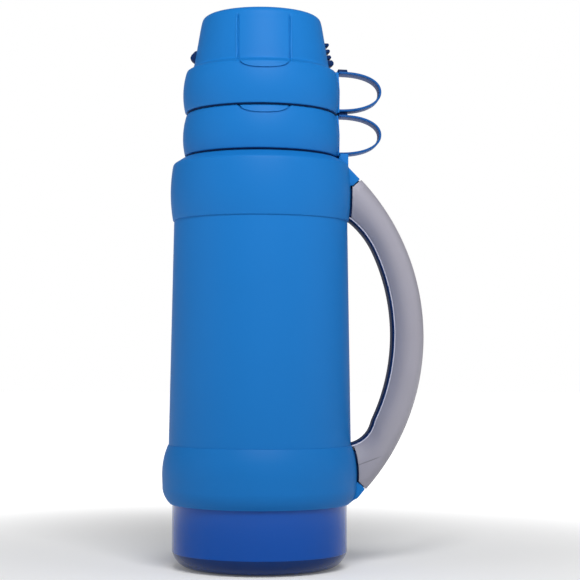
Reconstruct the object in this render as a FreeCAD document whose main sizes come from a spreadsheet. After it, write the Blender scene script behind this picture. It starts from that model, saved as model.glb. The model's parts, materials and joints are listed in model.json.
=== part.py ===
"""Vacuum flask with a glass liner, two nested cups and a side handle.

Frame: millimetres, +Z up, origin on the flask's axis at floor level, +X towards the handle.
Driving sizes live in the spreadsheet "Dims".  Everything that fits, seats or lines up takes its
size from the same cells, so a changed cell moves its neighbours with it.
"""
import FreeCAD, Part
import math
import os
import Sketcher

V = FreeCAD.Vector
Y_AXIS, Z_AXIS = V(0, 1, 0), V(0, 0, 1)

doc = FreeCAD.newDocument("VacuumFlask")

# ---------------------------------------------------------------- driving dimensions
DRIVING = {
    # base cup
    "base_height": 42.8, "base_step": 2.75, "base_rounding": 12.0, "base_wall": 2.0,
    "foot_recess": 2.5, "foot_width": 5.0, "spigot_height": 17.2, "thread_depth": 0.6,
    "thread_height": 2.0, "thread_pitch": 5.0,
    # body shell
    "shell_height": 151.8, "shell_radius": 62.65, "shell_taper": 2.85, "shell_wall": 2.2,
    "shell_rebate": 0.75, "shell_insert": 25.0,
    # collars
    "low_collar_height": 42.4, "low_collar_bulge": 4.75, "low_collar_wall": 2.2,
    "collar_lip": 2.4, "up_collar_height": 44.9, "up_collar_bulge": 2.5, "collar_edge": 0.7,
    "shoulder_height": 6.2, "shoulder_edge": 0.8, "ledge_wall": 2.4, "ledge_margin": 0.8,
    "boss_reach": 9.0, "boss_slope": 8.0, "boss_depth": 13.8,
    # glass liner
    "liner_clearance": 1.6, "glass_wall": 1.5, "vacuum_gap": 4.0, "mouth_radius": 24.5,
    "liner_knuckle": 20.0, "liner_shoulder": 27.0, "shoulder_knuckle": 9.0, "tip_radius": 3.0,
    "tip_length": 7.0, "spacer_radius": 4.0, "spacer_height": 60.0, "cushion_thick": 12.1,
    "cushion_lip": 6.5, "cushion_hole": 8.0,
    # neck
    "neck_clearance": 4.2, "neck_height": 23.1, "neck_taper": 2.5, "neck_wall": 2.4,
    "neck_flange": 3.5, "bore_radius": 31.5, "bore_depth": 10.0, "web_thick": 3.0,
    "gasket_thick": 3.0, "neck_lug": 1.8, "neck_lug_rise": 7.0, "neck_room": 2.0,
    # stopper
    "plug_gap": 1.1, "plug_length": 27.0, "seal_height": 8.0, "seal_depth": 2.0,
    "channel_radius": 18.0, "seat_radius": 12.0, "seat_thick": 4.0, "thread_gap": 0.6,
    "cap_clearance": 3.6, "cap_wall": 2.4, "cap_rise": 5.0, "spout_width": 16.0,
    "button_radius": 12.0, "button_wall": 2.0, "button_travel": 4.0,
    "stem_radius": 3.0, "stem_head": 2.0, "valve_overlap": 2.5, "spring_radius": 7.0,
    "wire_radius": 0.6, "spring_turns": 6.0, "cup_headroom": 9.8, "grip_rib": 0.8,
    # cups
    "cup_rim_radius": 52.6, "cup_bulge": 1.4, "cup_pitch": 30.0, "cup_height": 66.3,
    "cup_wall": 1.9, "dome_radius": 46.5, "dome_taper": 5.0, "dome_edge": 4.0,
    "dome_recess": 0.8, "ring_corner": 0.9, "seat_width": 1.8, "seat_gap": 0.3,
    "tongue_depth": 3.05, "tongue_length": 7.0, "lug_span": 26.0, "lug_turn": 11.0,
    "panel_half": 19.0, "ridge_width": 1.0, "ridge_rise": 0.5,
    # cup loops
    "loop_reach": 29.2, "loop_half": 13.8, "loop_middle": 15.3, "loop_thick": 1.5,
    "loop_width": 14.0, "loop_tab": 6.5, "loop_pad": 1.4,
    # handle
    "hand_gap": 28.4, "handle_thick": 22.0, "handle_width": 30.0, "core_width": 22.0,
    "spine_width": 26.0, "spine_thick": 2.5, "grip_skin": 3.0, "root_gap": 1.0,
    "screw_radius": 2.0, "screw_head": 3.6,
    "screw_head_thick": 1.1, "screw_length": 11.0, "long_screw": 16.0, "screw_pitch": 12.0,
    # clearance between pieces that move on each other
    "fit_gap": 0.3,
}

sheet = doc.addObject("Spreadsheet::Sheet", "Dims")
for row, (alias, number) in enumerate(DRIVING.items(), start=1):
    sheet.set(f"A{row}", alias)
    sheet.set(f"B{row}", str(number))
    sheet.setAlias(f"B{row}", alias)
doc.recompute()


class Size:
    """A length that carries its value and the sheet expression that drives it."""

    def __init__(self, value, text):
        self.value = float(value)
        self.text = text

    def _join(self, other, sign, value):
        return Size(value, f"({self.text} {sign} {other.text})")

    def __add__(self, other):
        other = as_size(other)
        return self._join(other, "+", self.value + other.value)

    def __sub__(self, other):
        other = as_size(other)
        return self._join(other, "-", self.value - other.value)

    def __mul__(self, other):
        other = as_size(other)
        return self._join(other, "*", self.value * other.value)

    def __truediv__(self, other):
        other = as_size(other)
        return self._join(other, "/", self.value / other.value)

    def __rsub__(self, other):
        return as_size(other) - self

    def __neg__(self):
        return Size(-self.value, f"(0 - {self.text})")

    def __float__(self):
        return self.value

    __radd__ = __add__
    __rmul__ = __mul__


def smaller(first, second):
    """The smaller of two sizes, worked out by the sheet."""
    return Size(min(first.value, second.value), f"min({first.text}; {second.text})")


def as_size(number):
    """Wrap a plain number; a Size passes through."""
    return number if isinstance(number, Size) else Size(number, repr(float(number)))


class Dims:
    """Attribute access to the sheet: D.cup_wall is a Size bound to that cell."""

    def __getattr__(self, alias):
        return Size(sheet.get(alias), f"Dims.{alias}")


D = Dims()
ZERO = as_size(0)


# ---------------------------------------------------------------- modelling helpers
def bind(obj, **sizes):
    """Drive properties of an object from sheet expressions."""
    for prop, value in sizes.items():
        obj.setExpression(prop, as_size(value).text)
    return obj


def move(obj, x=0, y=0, z=0, rotation=None):
    """Place an object; each offset may be a Size and stays bound to the sheet."""
    offsets = {"x": as_size(x), "y": as_size(y), "z": as_size(z)}
    turn = rotation or FreeCAD.Rotation()
    obj.Placement = FreeCAD.Placement(V(*[float(s) for s in offsets.values()]), turn)
    for axis, value in offsets.items():
        obj.setExpression(f"Placement.Base.{axis}", value.text)
    return obj


def at(x, z):
    """Outline corner."""
    return ("at", as_size(x), as_size(z))


def via(x, z):
    """Point that the arc between the two corners beside it passes through."""
    return ("via", as_size(x), as_size(z))


def plane_of(body, role):
    """Origin plane of a body."""
    return [item for item in body.Origin.OriginFeatures if item.Role == role][0]


def pin_point(sketch, geometry, end, point):
    """Drive one sketch point from the sheet."""
    for kind, value in (("DistanceX", point[1]), ("DistanceY", point[2])):
        index = sketch.addConstraint(
            Sketcher.Constraint(kind, -1, 1, geometry, end, float(value)))
        sketch.setExpression(f"Constraints[{index}]", value.text)


def draw_outline(sketch, points):
    """Draw a closed outline of lines and arcs whose points are all driven."""
    corners = [i for i, p in enumerate(points) if p[0] == "at"]
    edges = []
    for order, start in enumerate(corners):
        stop = corners[(order + 1) % len(corners)]
        first, last = points[start], points[stop]
        p = V(float(first[1]), float(first[2]), 0)
        q = V(float(last[1]), float(last[2]), 0)
        between = points[start + 1] if points[(start + 1) % len(points)][0] == "via" else None
        if between:
            middle = V(float(between[1]), float(between[2]), 0)
            edge = sketch.addGeometry(Part.Arc(p, middle, q), False)
        else:
            edge = sketch.addGeometry(Part.LineSegment(p, q), False)
        forward = (sketch.getPoint(edge, 1) - p).Length < 1e-6
        edges.append((edge, (1, 2) if forward else (2, 1), first, between))
    for order, (edge, ends, first, between) in enumerate(edges):
        following, next_ends = edges[(order + 1) % len(edges)][:2]
        sketch.addConstraint(
            Sketcher.Constraint("Coincident", edge, ends[1], following, next_ends[0]))
        pin_point(sketch, edge, ends[0], first)
    for edge, ends, first, between in edges:
        if between:
            spot = sketch.addGeometry(
                Part.Point(V(float(between[1]), float(between[2]), 0)), True)
            sketch.addConstraint(Sketcher.Constraint("PointOnObject", spot, 1, edge))
            pin_point(sketch, spot, 1, between)


def new_sketch(name, role, points):
    """Body with one sketch of a driven outline on its origin plane."""
    body = doc.addObject("PartDesign::Body", name)
    sketch = body.newObject("Sketcher::SketchObject", f"{name}_sketch")
    sketch.AttachmentSupport = [(plane_of(body, role), "")]
    sketch.MapMode = "FlatFace"
    doc.recompute()
    draw_outline(sketch, points)
    return body, sketch


def revolved(name, points):
    """Outline in (radius, height) turned about the flask's axis."""
    body, sketch = new_sketch(name, "XZ_Plane", points)
    turn = body.newObject("PartDesign::Revolution", f"{name}_turn")
    turn.Profile = sketch
    turn.ReferenceAxis = (sketch, ["V_Axis"])
    turn.Angle = 360
    sketch.Visibility = False
    return body


def padded(name, points, width):
    """Outline in (x, z) padded to both sides of the XZ plane."""
    body, sketch = new_sketch(name, "XZ_Plane", points)
    pad = body.newObject("PartDesign::Pad", f"{name}_pad")
    pad.Profile = sketch
    pad.Midplane = True
    bind(pad, Length=width)
    return body


def cylinder(name, radius, height, x=0, y=0, z=0, rotation=None, angle=360):
    """Solid cylinder, or a sector of one."""
    obj = doc.addObject("Part::Cylinder", name)
    bind(obj, Radius=radius, Height=height, Angle=angle)
    return move(obj, x, y, z, rotation)


def cone(name, low, high, height, z, rotation=None, angle=360):
    """Solid cone about the axis, or a sector of one."""
    obj = doc.addObject("Part::Cone", name)
    bind(obj, Radius1=low, Radius2=high, Height=height, Angle=angle)
    return move(obj, z=z, rotation=rotation)


def box(name, length, width, height, x, y, z, rotation=None):
    """Box from its low corner."""
    obj = doc.addObject("Part::Box", name)
    bind(obj, Length=length, Width=width, Height=height)
    return move(obj, x, y, z, rotation)


def union(name, shapes):
    """Fuse of several objects."""
    obj = doc.addObject("Part::MultiFuse", name)
    obj.Shapes = shapes
    return obj


def cut(name, base, tool):
    """Base minus tool."""
    obj = doc.addObject("Part::Cut", name)
    obj.Base = base
    obj.Tool = tool
    return obj


def common(name, first, second):
    """What two objects share."""
    obj = doc.addObject("Part::MultiCommon", name)
    obj.Shapes = [first, second]
    return obj


nodes = []


def keep(label, obj):
    """Name a finished sub-part; the label names its file."""
    obj.Label = label
    nodes.append(obj)
    return obj


# ---------------------------------------------------------------- heights and radii they share
base_radius = D.shell_radius - D.base_step
lip_z = D.base_height
shell_bottom = lip_z + D.collar_lip
shell_low = lip_z + D.low_collar_height
shell_high = shell_low + D.shell_height
ledge_z = shell_high + D.up_collar_height
neck_top = ledge_z + D.neck_height
web_top = neck_top - D.bore_depth
web_bottom = web_top - D.web_thick
mouth_z = web_bottom - D.gasket_thick

top_radius = D.shell_radius - D.shell_taper
top_inner = top_radius - D.shell_wall
insert_radius = D.shell_radius - D.shell_rebate
insert_inner = insert_radius - D.shell_wall

liner_radius = top_inner - D.liner_clearance
inner_liner = liner_radius - D.glass_wall - D.vacuum_gap
floor_z = D.foot_recess + D.base_wall + 0.4
liner_bottom = floor_z + D.cushion_thick

rim_inner = D.cup_rim_radius - D.cup_wall
neck_radius = smaller(rim_inner - D.neck_clearance, top_inner - D.neck_flange - D.neck_room)
ring_top = D.cup_pitch - D.seat_gap
cup_seat = ledge_z + D.seat_gap


# ---------------------------------------------------------------- base cup and body
def make_base_cup():
    """Glossy cup that closes the flask from below; its spigot screws into the shell."""
    spigot = insert_inner - D.thread_depth
    foot_outer = base_radius - D.base_rounding
    foot_inner = foot_outer - D.foot_width
    arc_reach = D.base_rounding * math.sin(math.radians(45))
    inner_start = floor_z + D.base_rounding
    wall_radius = base_radius - D.base_wall
    shell = revolved("base_cup_turned", [
        at(0, D.foot_recess), at(foot_inner - 2, D.foot_recess), at(foot_inner, 0),
        at(foot_outer, 0), via(foot_outer + arc_reach, D.base_rounding - arc_reach),
        at(base_radius, D.base_rounding), at(base_radius, lip_z),
        at(spigot, shell_bottom), at(spigot, lip_z + D.spigot_height),
        at(spigot - D.base_wall, lip_z + D.spigot_height),
        at(spigot - D.base_wall, shell_bottom - 4), at(wall_radius, shell_bottom - 6),
        at(wall_radius, inner_start),
        via(foot_outer - D.base_wall + arc_reach, inner_start - arc_reach),
        at(foot_outer - D.base_wall, floor_z), at(0, floor_z),
    ])
    rings = [shell]
    for turn in range(2):
        bottom = shell_bottom + 3 + D.thread_pitch * turn
        rings.append(revolved(f"base_thread_{turn}", [
            at(spigot - 1, bottom - 0.5), at(spigot, bottom - 0.5),
            at(spigot + D.thread_depth, bottom),
            at(spigot + D.thread_depth, bottom + D.thread_height),
            at(spigot, bottom + D.thread_height + 0.5),
            at(spigot - 1, bottom + D.thread_height + 0.5),
        ]))
    return keep("base_cup", union("base_cup_body", rings))


def make_body_shell(screw_holes):
    """Tapered tube between the collars, rebated where the lower collar grips it."""
    tube = revolved("shell_turned", [
        at(insert_inner, shell_bottom), at(insert_radius, shell_bottom),
        at(insert_radius, shell_low), at(D.shell_radius, shell_low),
        at(top_radius, shell_high), at(top_radius, shell_high + D.shell_insert),
        at(top_inner, shell_high + D.shell_insert), at(top_inner, shell_high),
        at(D.shell_radius - D.shell_wall, shell_low + 3),
        at(insert_inner, shell_low - 1),
    ])
    return keep("body_shell", cut("shell_drilled", tube, screw_holes))


low_bulge = D.shell_radius + D.low_collar_bulge
low_collar_outer = [
    at(base_radius + 1.3, lip_z),
    via(base_radius + 4.7, lip_z + 4.1), at(low_bulge - 0.2, lip_z + 14.2),
    via(low_bulge, lip_z + 22.2), at(low_bulge - 0.5, shell_low - 11.2),
    via(low_bulge - 2.1, shell_low - 4.3), at(D.shell_radius + 0.05, shell_low),
]
low_root_x = D.shell_radius + 3.75
low_root_z = lip_z + 3.6
low_end_out = (low_root_x + 7.0, low_root_z + 7.6)
low_end_in = (low_bulge + 0.6, lip_z + 15.8)
up_bulge = top_radius + D.up_collar_bulge
ledge_radius = D.cup_rim_radius + D.ledge_margin
corner_z = ledge_z - D.shoulder_height
boss_face = rim_inner + D.boss_reach
top_end_out = (boss_face + D.boss_slope + 0.4, corner_z - D.boss_slope)
top_end_in = (up_bulge, corner_z - D.boss_depth)
up_collar_outer = [
    at(top_radius + D.collar_edge, shell_high),
    via(up_bulge, shell_high + 21), at(top_radius + D.shoulder_edge, corner_z),
    at(ledge_radius, ledge_z),
]


def make_lower_collar(screw_holes):
    """Bulged ring over the joint of shell and base cup, with the boss below the grip's end."""
    ring = revolved("low_collar_turned", low_collar_outer + [
        at(insert_radius, shell_low), at(insert_radius, shell_low - 5.7),
        via(low_bulge - D.low_collar_wall, lip_z + 21.7), at(insert_radius, lip_z + 5.2),
        at(insert_radius, shell_bottom), at(base_radius + D.fit_gap, shell_bottom),
        at(base_radius + D.fit_gap, lip_z),
    ])
    block = padded("low_boss_block", [
        at(insert_radius, lip_z + 2), at(base_radius + 1.3, lip_z + 0.4),
        at(low_root_x, low_root_z), via(low_root_x + 3.9, low_root_z + 3.9),
        at(*low_end_out), at(*low_end_in), at(low_bulge - 4, low_end_in[1]),
        at(insert_radius, lip_z + 12),
    ], D.spine_width)
    inside = cylinder("low_boss_room", low_bulge - D.low_collar_wall, D.low_collar_height,
                      z=lip_z)
    lump = union("low_collar_lump", [ring, cut("low_boss", block, inside)])
    return keep("lower_collar", cut("low_collar_drilled", lump, screw_holes))


def make_upper_collar(screw_holes):
    """Shoulder ring: seats the cups, holds the neck ring and carries the handle's boss."""
    boss_top = cup_seat + D.loop_middle - D.loop_half - D.fit_gap * 2
    boss = padded("collar_boss", [
        at(ledge_radius - 1, ledge_z - 4), at(ledge_radius + 1.5, boss_top - 0.9),
        via(ledge_radius + 2.5, boss_top), at(boss_face - 1.5, boss_top),
        via(boss_face - 0.4, boss_top - 0.6), at(boss_face, boss_top - 2),
        at(*top_end_out), at(*top_end_in), at(top_radius - 1, corner_z - 13),
        at(top_radius - 1, corner_z - 10),
    ], D.spine_width)
    form = revolved("up_collar_form", [at(0, shell_high)] + up_collar_outer + [at(0, ledge_z)])
    hollow = revolved("up_collar_hollow", [
        at(0, shell_high - 1), at(top_radius, shell_high - 1),
        at(top_radius, shell_high + D.shell_insert), at(top_inner, shell_high + D.shell_insert),
        at(top_inner, corner_z - 4), at(ledge_radius - 3, ledge_z - D.ledge_wall),
        at(neck_radius, ledge_z - D.ledge_wall), at(neck_radius, ledge_z + 4),
        at(0, ledge_z + 4),
    ])
    shoulder = cut("up_collar_shell", union("up_collar_outside", [form, boss]), hollow)
    return keep("upper_collar", cut("up_collar_drilled", shoulder, screw_holes))


# ---------------------------------------------------------------- glass liner
def liner_outline(radius, bottom, neck, lift):
    """Outside of one glass: flat bottom with a knuckle, shoulder cone and straight neck."""
    knuckle = D.liner_knuckle - (liner_radius - radius)
    reach = knuckle * math.sin(math.radians(45))
    shoulder_z = mouth_z - D.liner_shoulder - 26 - lift
    cone_z = mouth_z - D.liner_shoulder - lift * 0.4
    return [
        at(0, bottom), at(radius - knuckle, bottom),
        via(radius - knuckle + reach, bottom + knuckle - reach), at(radius, bottom + knuckle),
        at(radius, shoulder_z),
        via(radius - D.shoulder_knuckle * 0.3, shoulder_z + D.shoulder_knuckle * 0.9),
        at(radius - D.shoulder_knuckle, shoulder_z + D.shoulder_knuckle * 1.5),
        at(neck, cone_z),
    ]


def glass(name, radius, bottom, neck, lift, rim):
    """One wall of the liner, hollow, ending in its share of the fused mouth."""
    outside = liner_outline(radius, bottom, neck, lift)
    inside = liner_outline(radius - D.glass_wall, bottom + D.glass_wall,
                           neck - D.glass_wall, lift + 1)
    skin = revolved(f"{name}_skin", outside + rim + [at(0, mouth_z)])
    hollow = revolved(f"{name}_hollow", inside + [
        at(neck - D.glass_wall, mouth_z + 1), at(0, mouth_z + 1)])
    return skin, hollow


outer_neck = D.mouth_radius + D.glass_wall * 2 + D.vacuum_gap * 0.9
inner_neck = D.mouth_radius + D.glass_wall
fused_line = D.mouth_radius + D.glass_wall + D.vacuum_gap * 0.4
inner_bottom = liner_bottom + D.glass_wall + D.vacuum_gap


def make_outer_glass():
    """Outer wall of the vacuum liner, with the sealed-off tip below."""
    skin, hollow = glass("outer_glass", liner_radius, liner_bottom, outer_neck, 0,
                         [at(outer_neck, mouth_z)])
    hollow_rim = cylinder("outer_rim_keep", outer_neck, D.glass_wall, z=mouth_z - D.glass_wall)
    tip = cone("liner_tip", D.tip_radius * 0.3, D.tip_radius, D.tip_length + 0.5,
               liner_bottom - D.tip_length)
    tube = cut("outer_glass_tube", union("outer_glass_lump", [skin, tip]), hollow)
    mouth = cut("outer_mouth", hollow_rim,
                cylinder("outer_mouth_bore", fused_line, D.glass_wall * 3,
                         z=mouth_z - D.glass_wall * 2))
    return keep("outer_glass", union("outer_glass_body", [tube, mouth]))


def make_inner_glass():
    """Inner wall of the liner, which holds the drink."""
    skin, hollow = glass("inner_glass", inner_liner, inner_bottom, inner_neck, 2,
                         [at(inner_neck, mouth_z - D.glass_wall),
                          at(fused_line, mouth_z - D.glass_wall), at(fused_line, mouth_z)])
    return keep("inner_glass", cut("inner_glass_body", skin, hollow))


def make_glass_spacers():
    """Three pads that keep the two glasses apart near the bottom."""
    span = D.vacuum_gap
    band = cut("spacer_band",
               cylinder("spacer_outer", inner_liner + span, D.spacer_radius * 4,
                        z=D.spacer_height - D.spacer_radius * 2),
               cylinder("spacer_inner", inner_liner, D.spacer_radius * 6,
                        z=D.spacer_height - D.spacer_radius * 3))
    discs = []
    for index in range(3):
        turn = FreeCAD.Rotation(Z_AXIS, 60 + 120 * index)
        outwards = turn.multiply(FreeCAD.Rotation(Y_AXIS, 90))
        discs.append(cylinder(f"spacer_disc_{index}", D.spacer_radius, liner_radius,
                              z=D.spacer_height, rotation=outwards))
    return keep("glass_spacers", common("spacers", band, union("spacer_discs", discs)))


def make_support_cushion():
    """Rubber cup under the liner, with a hole that keeps the glass tip free."""
    flat = liner_radius - D.liner_knuckle
    lip = liner_bottom + D.cushion_lip
    foot = base_radius - D.base_rounding - D.base_wall
    return keep("support_cushion", revolved("cushion", [
        at(D.cushion_hole, floor_z), at(foot, floor_z), at(foot + 8, floor_z + 8),
        at(foot + 8, lip), at(foot + 6.2, lip), at(flat + 8, liner_bottom),
        at(D.cushion_hole, liner_bottom),
    ]))


def make_neck_gasket():
    """Soft ring between the glass mouth and the neck ring."""
    return keep("neck_gasket", revolved("gasket", [
        at(D.mouth_radius + 1, mouth_z), at(D.bore_radius + D.neck_wall, mouth_z),
        at(D.bore_radius + D.neck_wall, web_bottom), at(D.mouth_radius + 1, web_bottom),
    ]))


def make_neck_ring():
    """Ring above the shoulder: cups turn onto its lugs, the stopper into its bore."""
    under = ledge_z - D.ledge_wall
    top_edge = neck_radius - D.neck_taper
    wall = D.neck_wall
    ring = revolved("neck_turned", [
        at(neck_radius - wall, under - 3), at(neck_radius + D.neck_flange, under - 3),
        at(neck_radius + D.neck_flange, under), at(neck_radius, under),
        at(neck_radius, ledge_z), at(top_edge, neck_top - 1.5),
        via(top_edge - 0.45, neck_top - 0.45), at(top_edge - 1.5, neck_top),
        at(D.bore_radius, neck_top), at(D.bore_radius, web_top),
        at(D.mouth_radius + 1, web_top), at(D.mouth_radius + 1, web_bottom),
        at(D.bore_radius + wall, web_bottom), at(D.bore_radius + wall, neck_top - wall),
        at(top_edge - wall, neck_top - wall), at(neck_radius - wall, ledge_z),
    ])
    shapes = [ring]
    for index in range(3):
        turn = FreeCAD.Rotation(Z_AXIS, 120 * index + 75)
        sector = cylinder(f"neck_lug_{index}", neck_radius + D.neck_lug, 3,
                          z=ledge_z + D.neck_lug_rise, rotation=turn, angle=30)
        shapes.append(cut(f"neck_lug_ring_{index}", sector,
                          cylinder(f"neck_lug_bore_{index}", neck_radius - wall, 7,
                                   z=ledge_z + D.neck_lug_rise - 2)))
    return keep("neck_ring", union("neck_body", shapes))


# ---------------------------------------------------------------- stopper
plug_radius = D.mouth_radius - D.plug_gap
plug_bottom = mouth_z - D.plug_length
flange_bottom = web_top + D.fit_gap
flange_radius = D.bore_radius - D.thread_gap
cap_bottom = neck_top + D.cap_rise
cup_inner_top = cup_seat + D.cup_height - D.dome_recess - D.cup_wall
button_top = cup_inner_top - D.cup_headroom
cap_top = button_top - D.button_travel
cap_radius = D.dome_radius - D.dome_taper - D.cup_wall - D.cap_clearance
button_roof = button_top - D.button_wall - 0.8
bore_edge = D.button_radius + D.fit_gap
plate_top = cap_bottom + D.cap_wall
seal_z = mouth_z - D.seal_height - 3


def make_stopper_body():
    """Hollow plug: seal groove, thread flange, pouring channel and slot away from the handle."""
    groove = plug_radius - D.seal_depth
    seal_top = seal_z + D.seal_height
    plug = revolved("stopper_turned", [
        at(D.seat_radius, plug_bottom), at(plug_radius - 1.5, plug_bottom),
        at(plug_radius, plug_bottom + 1.5), at(plug_radius, seal_z - D.fit_gap),
        at(groove, seal_z - D.fit_gap), at(groove, seal_top + D.fit_gap),
        at(plug_radius, seal_top + D.fit_gap), at(plug_radius, flange_bottom),
        at(flange_radius - 1, flange_bottom), at(flange_radius, flange_bottom + 1),
        at(flange_radius, neck_top - 2), at(flange_radius - 2, neck_top),
        at(flange_radius - 2, cap_bottom), at(D.channel_radius, cap_bottom),
        at(D.channel_radius, plug_bottom + D.seat_thick),
        at(D.seat_radius, plug_bottom + D.seat_thick),
    ])
    slot = box("pour_slot", flange_radius, D.spout_width, D.cap_rise,
               -(flange_radius + D.seat_radius), -(D.spout_width / 2), neck_top)
    return keep("stopper_body", cut("stopper_slotted", plug, slot))


def make_stopper_cap():
    """Ribbed finger grip of the stopper, with the button's guide in the middle."""
    guide = bore_edge + D.cap_wall
    skirt = cap_radius - D.cap_wall
    ribs = [revolved("cap_turned", [
        at(D.stem_radius + D.fit_gap, cap_bottom), at(flange_radius - 2, cap_bottom),
        at(flange_radius - 2, plate_top), at(guide, plate_top),
        at(guide, cap_top - D.cap_wall), at(skirt, cap_top - D.cap_wall),
        at(skirt, cap_bottom), at(cap_radius - 1, cap_bottom),
        at(cap_radius, cap_bottom + 1), at(cap_radius - 1, cap_top - 2),
        via(cap_radius - 1.6, cap_top - 0.6), at(cap_radius - 3, cap_top),
        at(bore_edge, cap_top), at(bore_edge, plate_top),
        at(D.stem_radius + D.fit_gap, plate_top),
    ])]
    count = 24
    for index in range(count):
        angle = math.radians(360 / count * (index + 0.5))
        ribs.append(cylinder(f"cap_rib_{index}", D.grip_rib, cap_top - cap_bottom - 5,
                             (cap_radius - 0.7) * math.cos(angle),
                             (cap_radius - 0.7) * math.sin(angle), cap_bottom + 1.5))
    return keep("stopper_cap", union("cap_body", ribs))


def make_release_button():
    """Hollow push button that opens the valve through the stem."""
    skirt = plate_top + D.button_travel + D.fit_gap * 2
    button_inner = D.button_radius - D.button_wall
    return keep("release_button", revolved("button", [
        at(button_inner, skirt), at(D.button_radius, skirt),
        at(D.button_radius, button_top - 1.2),
        via(D.button_radius - 0.35, button_top - 0.35), at(D.button_radius - 1.2, button_top),
        at(0, button_top - 0.8), at(0, button_roof), at(button_inner, button_roof),
    ]))


def make_valve_stem():
    """Rod from the button down through the channel; its head holds the valve disc."""
    disc_bottom = plug_bottom - D.fit_gap - D.seat_thick
    head = D.stem_radius + 2
    return keep("valve_stem", revolved("stem", [
        at(0, disc_bottom - D.stem_head), at(head, disc_bottom - D.stem_head),
        at(head, disc_bottom), at(D.stem_radius, disc_bottom),
        at(D.stem_radius, button_roof), at(0, button_roof),
    ]))


def make_valve_seal():
    """Rubber disc that closes the channel from below."""
    top = plug_bottom - D.fit_gap
    edge = D.seat_radius + D.valve_overlap
    return keep("valve_seal", revolved("valve_disc", [
        at(D.stem_radius, top - D.seat_thick), at(edge - 2, top - D.seat_thick),
        at(edge, top - 1.5), at(edge, top), at(D.stem_radius, top),
    ]))


def make_valve_spring():
    """Coil spring that lifts the button and pulls the valve shut."""
    low = float(plate_top + D.wire_radius)
    high = float(button_roof - D.wire_radius - D.fit_gap)
    radius = float(D.spring_radius)
    helix = Part.makeHelix((high - low) / float(D.spring_turns), high - low, radius)
    wire = Part.Wire([Part.makeCircle(float(D.wire_radius), V(radius, 0, 0), Y_AXIS)])
    coil = Part.Wire(helix).makePipeShell([wire], True, True)
    spring = doc.addObject("Part::Feature", "spring_coil")
    spring.Shape = coil
    move(spring, z=plate_top + D.wire_radius)
    return keep("valve_spring", spring)


def make_plug_seal():
    """Silicone ring in the plug's groove."""
    groove = plug_radius - D.seal_depth + D.fit_gap
    crest = D.mouth_radius - D.fit_gap
    middle = seal_z + D.seal_height / 2
    return keep("plug_seal", revolved("seal_ring", [
        at(groove, seal_z), at(crest - 1, seal_z), via(crest, seal_z + 2),
        at(crest - 0.9, middle), via(crest, middle + 2), at(crest - 1, seal_z + D.seal_height),
        at(groove, seal_z + D.seal_height),
    ]))


# ---------------------------------------------------------------- cups
def cup_outline():
    """Outside of a cup in (radius, height above its rim)."""
    edge_z = D.cup_height - D.dome_edge
    edge_radius = D.dome_radius - D.dome_taper
    return [
        at(0, 0), at(D.cup_rim_radius, 0),
        via(D.cup_rim_radius + D.cup_bulge, ring_top * 0.56),
        at(D.cup_rim_radius - D.ring_corner, ring_top - 0.5),
        at(D.cup_rim_radius - D.ring_corner - 0.5, ring_top),
        at(D.cup_rim_radius - D.ring_corner - D.seat_width, ring_top),
        at(D.dome_radius, ring_top + 3.6), at(edge_radius, edge_z),
        via(edge_radius - D.dome_edge * 0.3, edge_z + D.dome_edge * 0.71),
        at(edge_radius - D.dome_edge, D.cup_height),
        at(edge_radius - D.dome_edge * 1.9, D.cup_height),
        at(edge_radius - D.dome_edge * 2.1, D.cup_height - D.dome_recess),
        at(0, D.cup_height - D.dome_recess),
    ]


def cup_cavity():
    """Inside of a cup, thicker at the ring's upper corner where the tongue is cut."""
    edge_z = D.cup_height - D.dome_edge
    edge_radius = D.dome_radius - D.dome_taper
    wall = D.cup_wall
    return [
        at(0, -1), at(rim_inner, -1), at(rim_inner, 0),
        via(rim_inner + D.cup_bulge * 0.9, ring_top * 0.5),
        at(rim_inner - 1.4, ring_top - 5.7), at(rim_inner - 4.2, ring_top - 1.7),
        at(D.dome_radius - wall, ring_top + 3.6), at(edge_radius - wall, edge_z - 1),
        via(edge_radius - wall - D.dome_edge * 0.3, edge_z - 1 + D.dome_edge * 0.6),
        at(edge_radius - wall - D.dome_edge, D.cup_height - D.dome_recess - wall),
        at(0, D.cup_height - D.dome_recess - wall),
    ]


def sector(name, radius, height, z, middle):
    """Pie of a cylinder about the axis, centred on a direction."""
    turn = FreeCAD.Rotation(Z_AXIS, middle - float(D.lug_span) / 2)
    return cylinder(name, radius, height, z=z, rotation=turn, angle=D.lug_span)


def cup_lugs(name):
    """Snap ribs on the handle side and one hooked lug opposite."""
    lugs = []
    room = rim_inner - 0.4
    right = float(D.lug_turn)
    ribs = ((34.0, 4.6, 0.0), (38.7, 3.0, 1.9), (42.7, 2.8, 2.8), (46.8, 2.4, 3.2))
    for index, (height, thick, back) in enumerate(ribs):
        lugs.append(sector(f"{name}_rib_{index}", room - back, thick,
                           ring_top + (height - 29.7), right))
    left = FreeCAD.Rotation(Z_AXIS, 180 - right - float(D.lug_span) / 2)
    lugs.append(cone(f"{name}_hook_low", room - 3.1, room - 0.9, 3.5, ring_top + 5.3,
                     left, D.lug_span))
    lugs.append(cone(f"{name}_hook_high", room - 0.9, room - 4.7, 4.5, ring_top + 8.8,
                     left, D.lug_span))
    return lugs


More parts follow.
